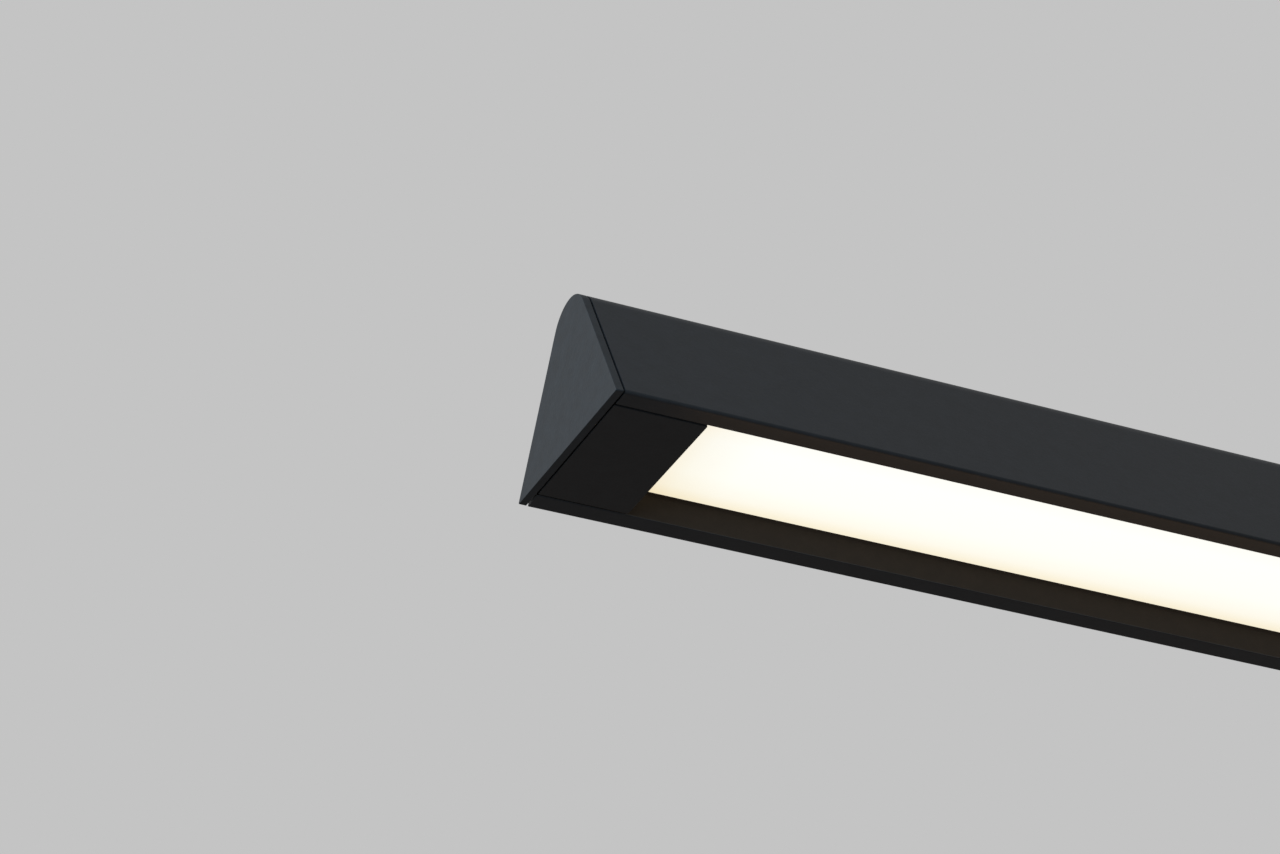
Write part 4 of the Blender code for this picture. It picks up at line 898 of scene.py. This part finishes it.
board = soft_box((-232.7, 22.8, 23.5), (-37.3, 37.2, 24.5), 0.1, 2)
for x, u, width in ((-222, 26, 3), (-214, 33, 4), (-204, 27, 2), (-196, 32, 5), (-186, 26, 3),
                    (-176, 31, 6), (-164, 27, 3), (-152, 33, 4), (-142, 27, 2), (-134, 31, 4)):
    body = soft_box((x - width / 2, u - 1.5, 24.4), (x + width / 2, u + 1.5, 25.6), 0.15, 1)
    feet = soft_box((x - width / 2 - 0.4, u - 1.1, 24.4), (x + width / 2 + 0.4, u + 1.1, 24.7), 0.05, 1)
    for face in body.faces:
        face.material_index = 1
    for face in feet.faces:
        face.material_index = 2
    board = join(board, body, feet)
piece = finished(board, "driver_circuit", driver_mask, ["driver_board"])
piece.data.materials.append(chip_black)
piece.data.materials.append(solder)

# %% [markdown]
# ## Mains side
# The supply cable is held by a clamp and wired to a push-in terminal. Its three release buttons are the only
# parts that move, each straight into the block by 1.2 mm, so each button rides on its own body. A slot across
# the top takes the tip of a screwdriver. The earth wire ends on a brass tag under a screw.

# %% Terminal, clamp and earth tag
soft_copy("terminal_block", "push_in_terminal", clamp_grey, 0.25)
soft_copy("cord_clamp", "cable_clamp", clamp_grey, 0.2)
soft_copy("earth_tag", "earth_ring_tag", brass, 0.12)
for pole, u in (("live", 25), ("neutral", 30), ("earth", 35)):
    button = soft_box((54.8, u - 1.4, 28.1), (59.2, u + 1.4, 31.7), 0.3, 3)
    bmesh.ops.recalc_face_normals(button, faces=button.faces)
    button = cut(button, soft_box((55.6, u - 0.35, 31.2), (58.4, u + 0.35, 33), 0))
    finished(button, "release_button_" + pole, button_finish[pole],
             ["terminal_button_" + pole], body="button_" + pole)

# %% [markdown]
# ## Wires
# The wires inside run on smooth curves that the CAD model already holds as coarse tubes. A merged copy with
# one level of subdivision makes them round.

# %% Wires
WIRE_SLOTS = {"lead_live": "lead_brown", "lead_neutral": "lead_blue", "lead_earth": "lead_green_yellow",
              "led_lead_positive": "lead_red", "led_lead_negative": "lead_black",
              "board_link_positive": "lead_red", "board_link_negative": "lead_black"}
for node, slot in WIRE_SLOTS.items():
    wire = finished(cad_copy(node), "wire_" + node, wire_finish[node], [node], soft_angle=75)
    rounder = wire.modifiers.new("rounder", "SUBSURF")
    rounder.levels = rounder.render_levels = 1

# %% [markdown]
# ## Floor and light
# A plain pale floor lies well below the bar. A grey sky gives soft light from all round, dimmer from below,
# from straight above and from the room side, while a bare view of the sky stays an even pale grey. One cool
# lamp stands to the left and lights the end plate. The diffuser's warm glow on the lips comes from a long
# thin lamp that lights the extrusion alone: with the real glow, that light would be mostly noise.

# %% Floor
floor = bmesh.new()
bmesh.ops.create_grid(floor, x_segments=1, y_segments=1, size=3.0)
floor_piece = as_object(floor, "floor")
floor_piece.location = (0, -0.3, -1.6)
floor_piece.visible_diffuse = False
floor_piece.visible_glossy = False
# Paper: IOR 1.45, not metallic, roughness 0.8.
floor_finish, _, floor_shader, _ = new_material("floor_paper", 1.45, 0.0, 0.8)
floor_shader.inputs["Base Color"].default_value = colour("BDBDBD")
floor_shader.inputs["Emission Color"].default_value = colour("C4C4C4")
floor_shader.inputs["Emission Strength"].default_value = 0.6
floor_piece.data.materials.append(floor_finish)
print("floor at z", floor_piece.location.z, "m")

# %% Light
world = bpy.data.worlds.new("pale_sky")
bpy.context.scene.world = world
world.use_nodes = True
sky_tree = world.node_tree
sky = sky_tree.nodes["Background"]
direction = add_node(sky_tree, "ShaderNodeTexCoord").outputs["Generated"]
height = add_node(sky_tree, "ShaderNodeSeparateXYZ", links={"Vector": direction})
level = add_node(sky_tree, "ShaderNodeMapRange", {"From Min": -1.0, "From Max": 1.0},
                 {"Value": height.outputs["Z"]})
tones = add_node(sky_tree, "ShaderNodeValToRGB", {"stops": [
    (0.0, colour("5F5B58")), (0.22, colour("6B6764")), (0.33, colour("C4C4C4")), (0.68, colour("C4C4C4")),
    (0.80, grey(0.345)), (1.0, grey(0.28))]}, {"Fac": level.outputs["Result"]})
room = add_node(sky_tree, "ShaderNodeMapRange",
                {"From Min": -0.75, "From Max": -0.05, "To Min": 0.22, "To Max": 1.0},
                {"Value": height.outputs["Y"]})
shaded = add_node(sky_tree, "ShaderNodeMix", {"data_type": "RGBA", "blend_type": "MULTIPLY", 0: 1.0},
                  {6: tones.outputs["Color"], 7: room.outputs["Result"]})
plain_sight = add_node(sky_tree, "ShaderNodeLightPath").outputs["Is Camera Ray"]
shown = add_node(sky_tree, "ShaderNodeMix", {"data_type": "RGBA", 7: colour("C4C4C4")},
                 {0: plain_sight, 6: shaded.outputs[2]})
sky_tree.links.new(shown.outputs[2], sky.inputs["Color"])
sky.inputs["Strength"].default_value = 1.0
bpy.context.scene.view_settings.view_transform = "Standard"
bpy.context.scene.view_settings.look = "None"


def lamp(name, place, turn, size, power, tone):
    light = bpy.data.lights.new(name, "AREA")
    light.shape = "RECTANGLE"
    light.size, light.size_y = size
    light.energy = power
    light.color = colour(tone)[:3]
    item = bpy.data.objects.new(name, light)
    bpy.context.scene.collection.objects.link(item)
    item.matrix_world = Matrix.Translation(place) @ turn.to_4x4()
    item.visible_camera = False
    return item


left_end = Vector((-0.3, -0.03, 0))
cool = Vector((-0.75, -0.25, 0.15))
toward = (left_end - cool).to_track_quat("-Z", "Y").to_matrix()
lamp("cool_side_lamp", cool, toward, (0.6, 0.6), 4.9, "C6E7FF")
under_lip = LIT @ Matrix.Translation((0, 13, -20)) @ Matrix.Rotation(math.radians(180), 4, "X")
glow = lamp("light_on_the_lips", under_lip.translation, under_lip.to_3x3().normalized(),
            (0.547, 0.016), 0.016, "FFC98A")
lips = bpy.data.collections.new("lips")
lips.objects.link(bar)
glow.light_linking.receiver_collection = lips
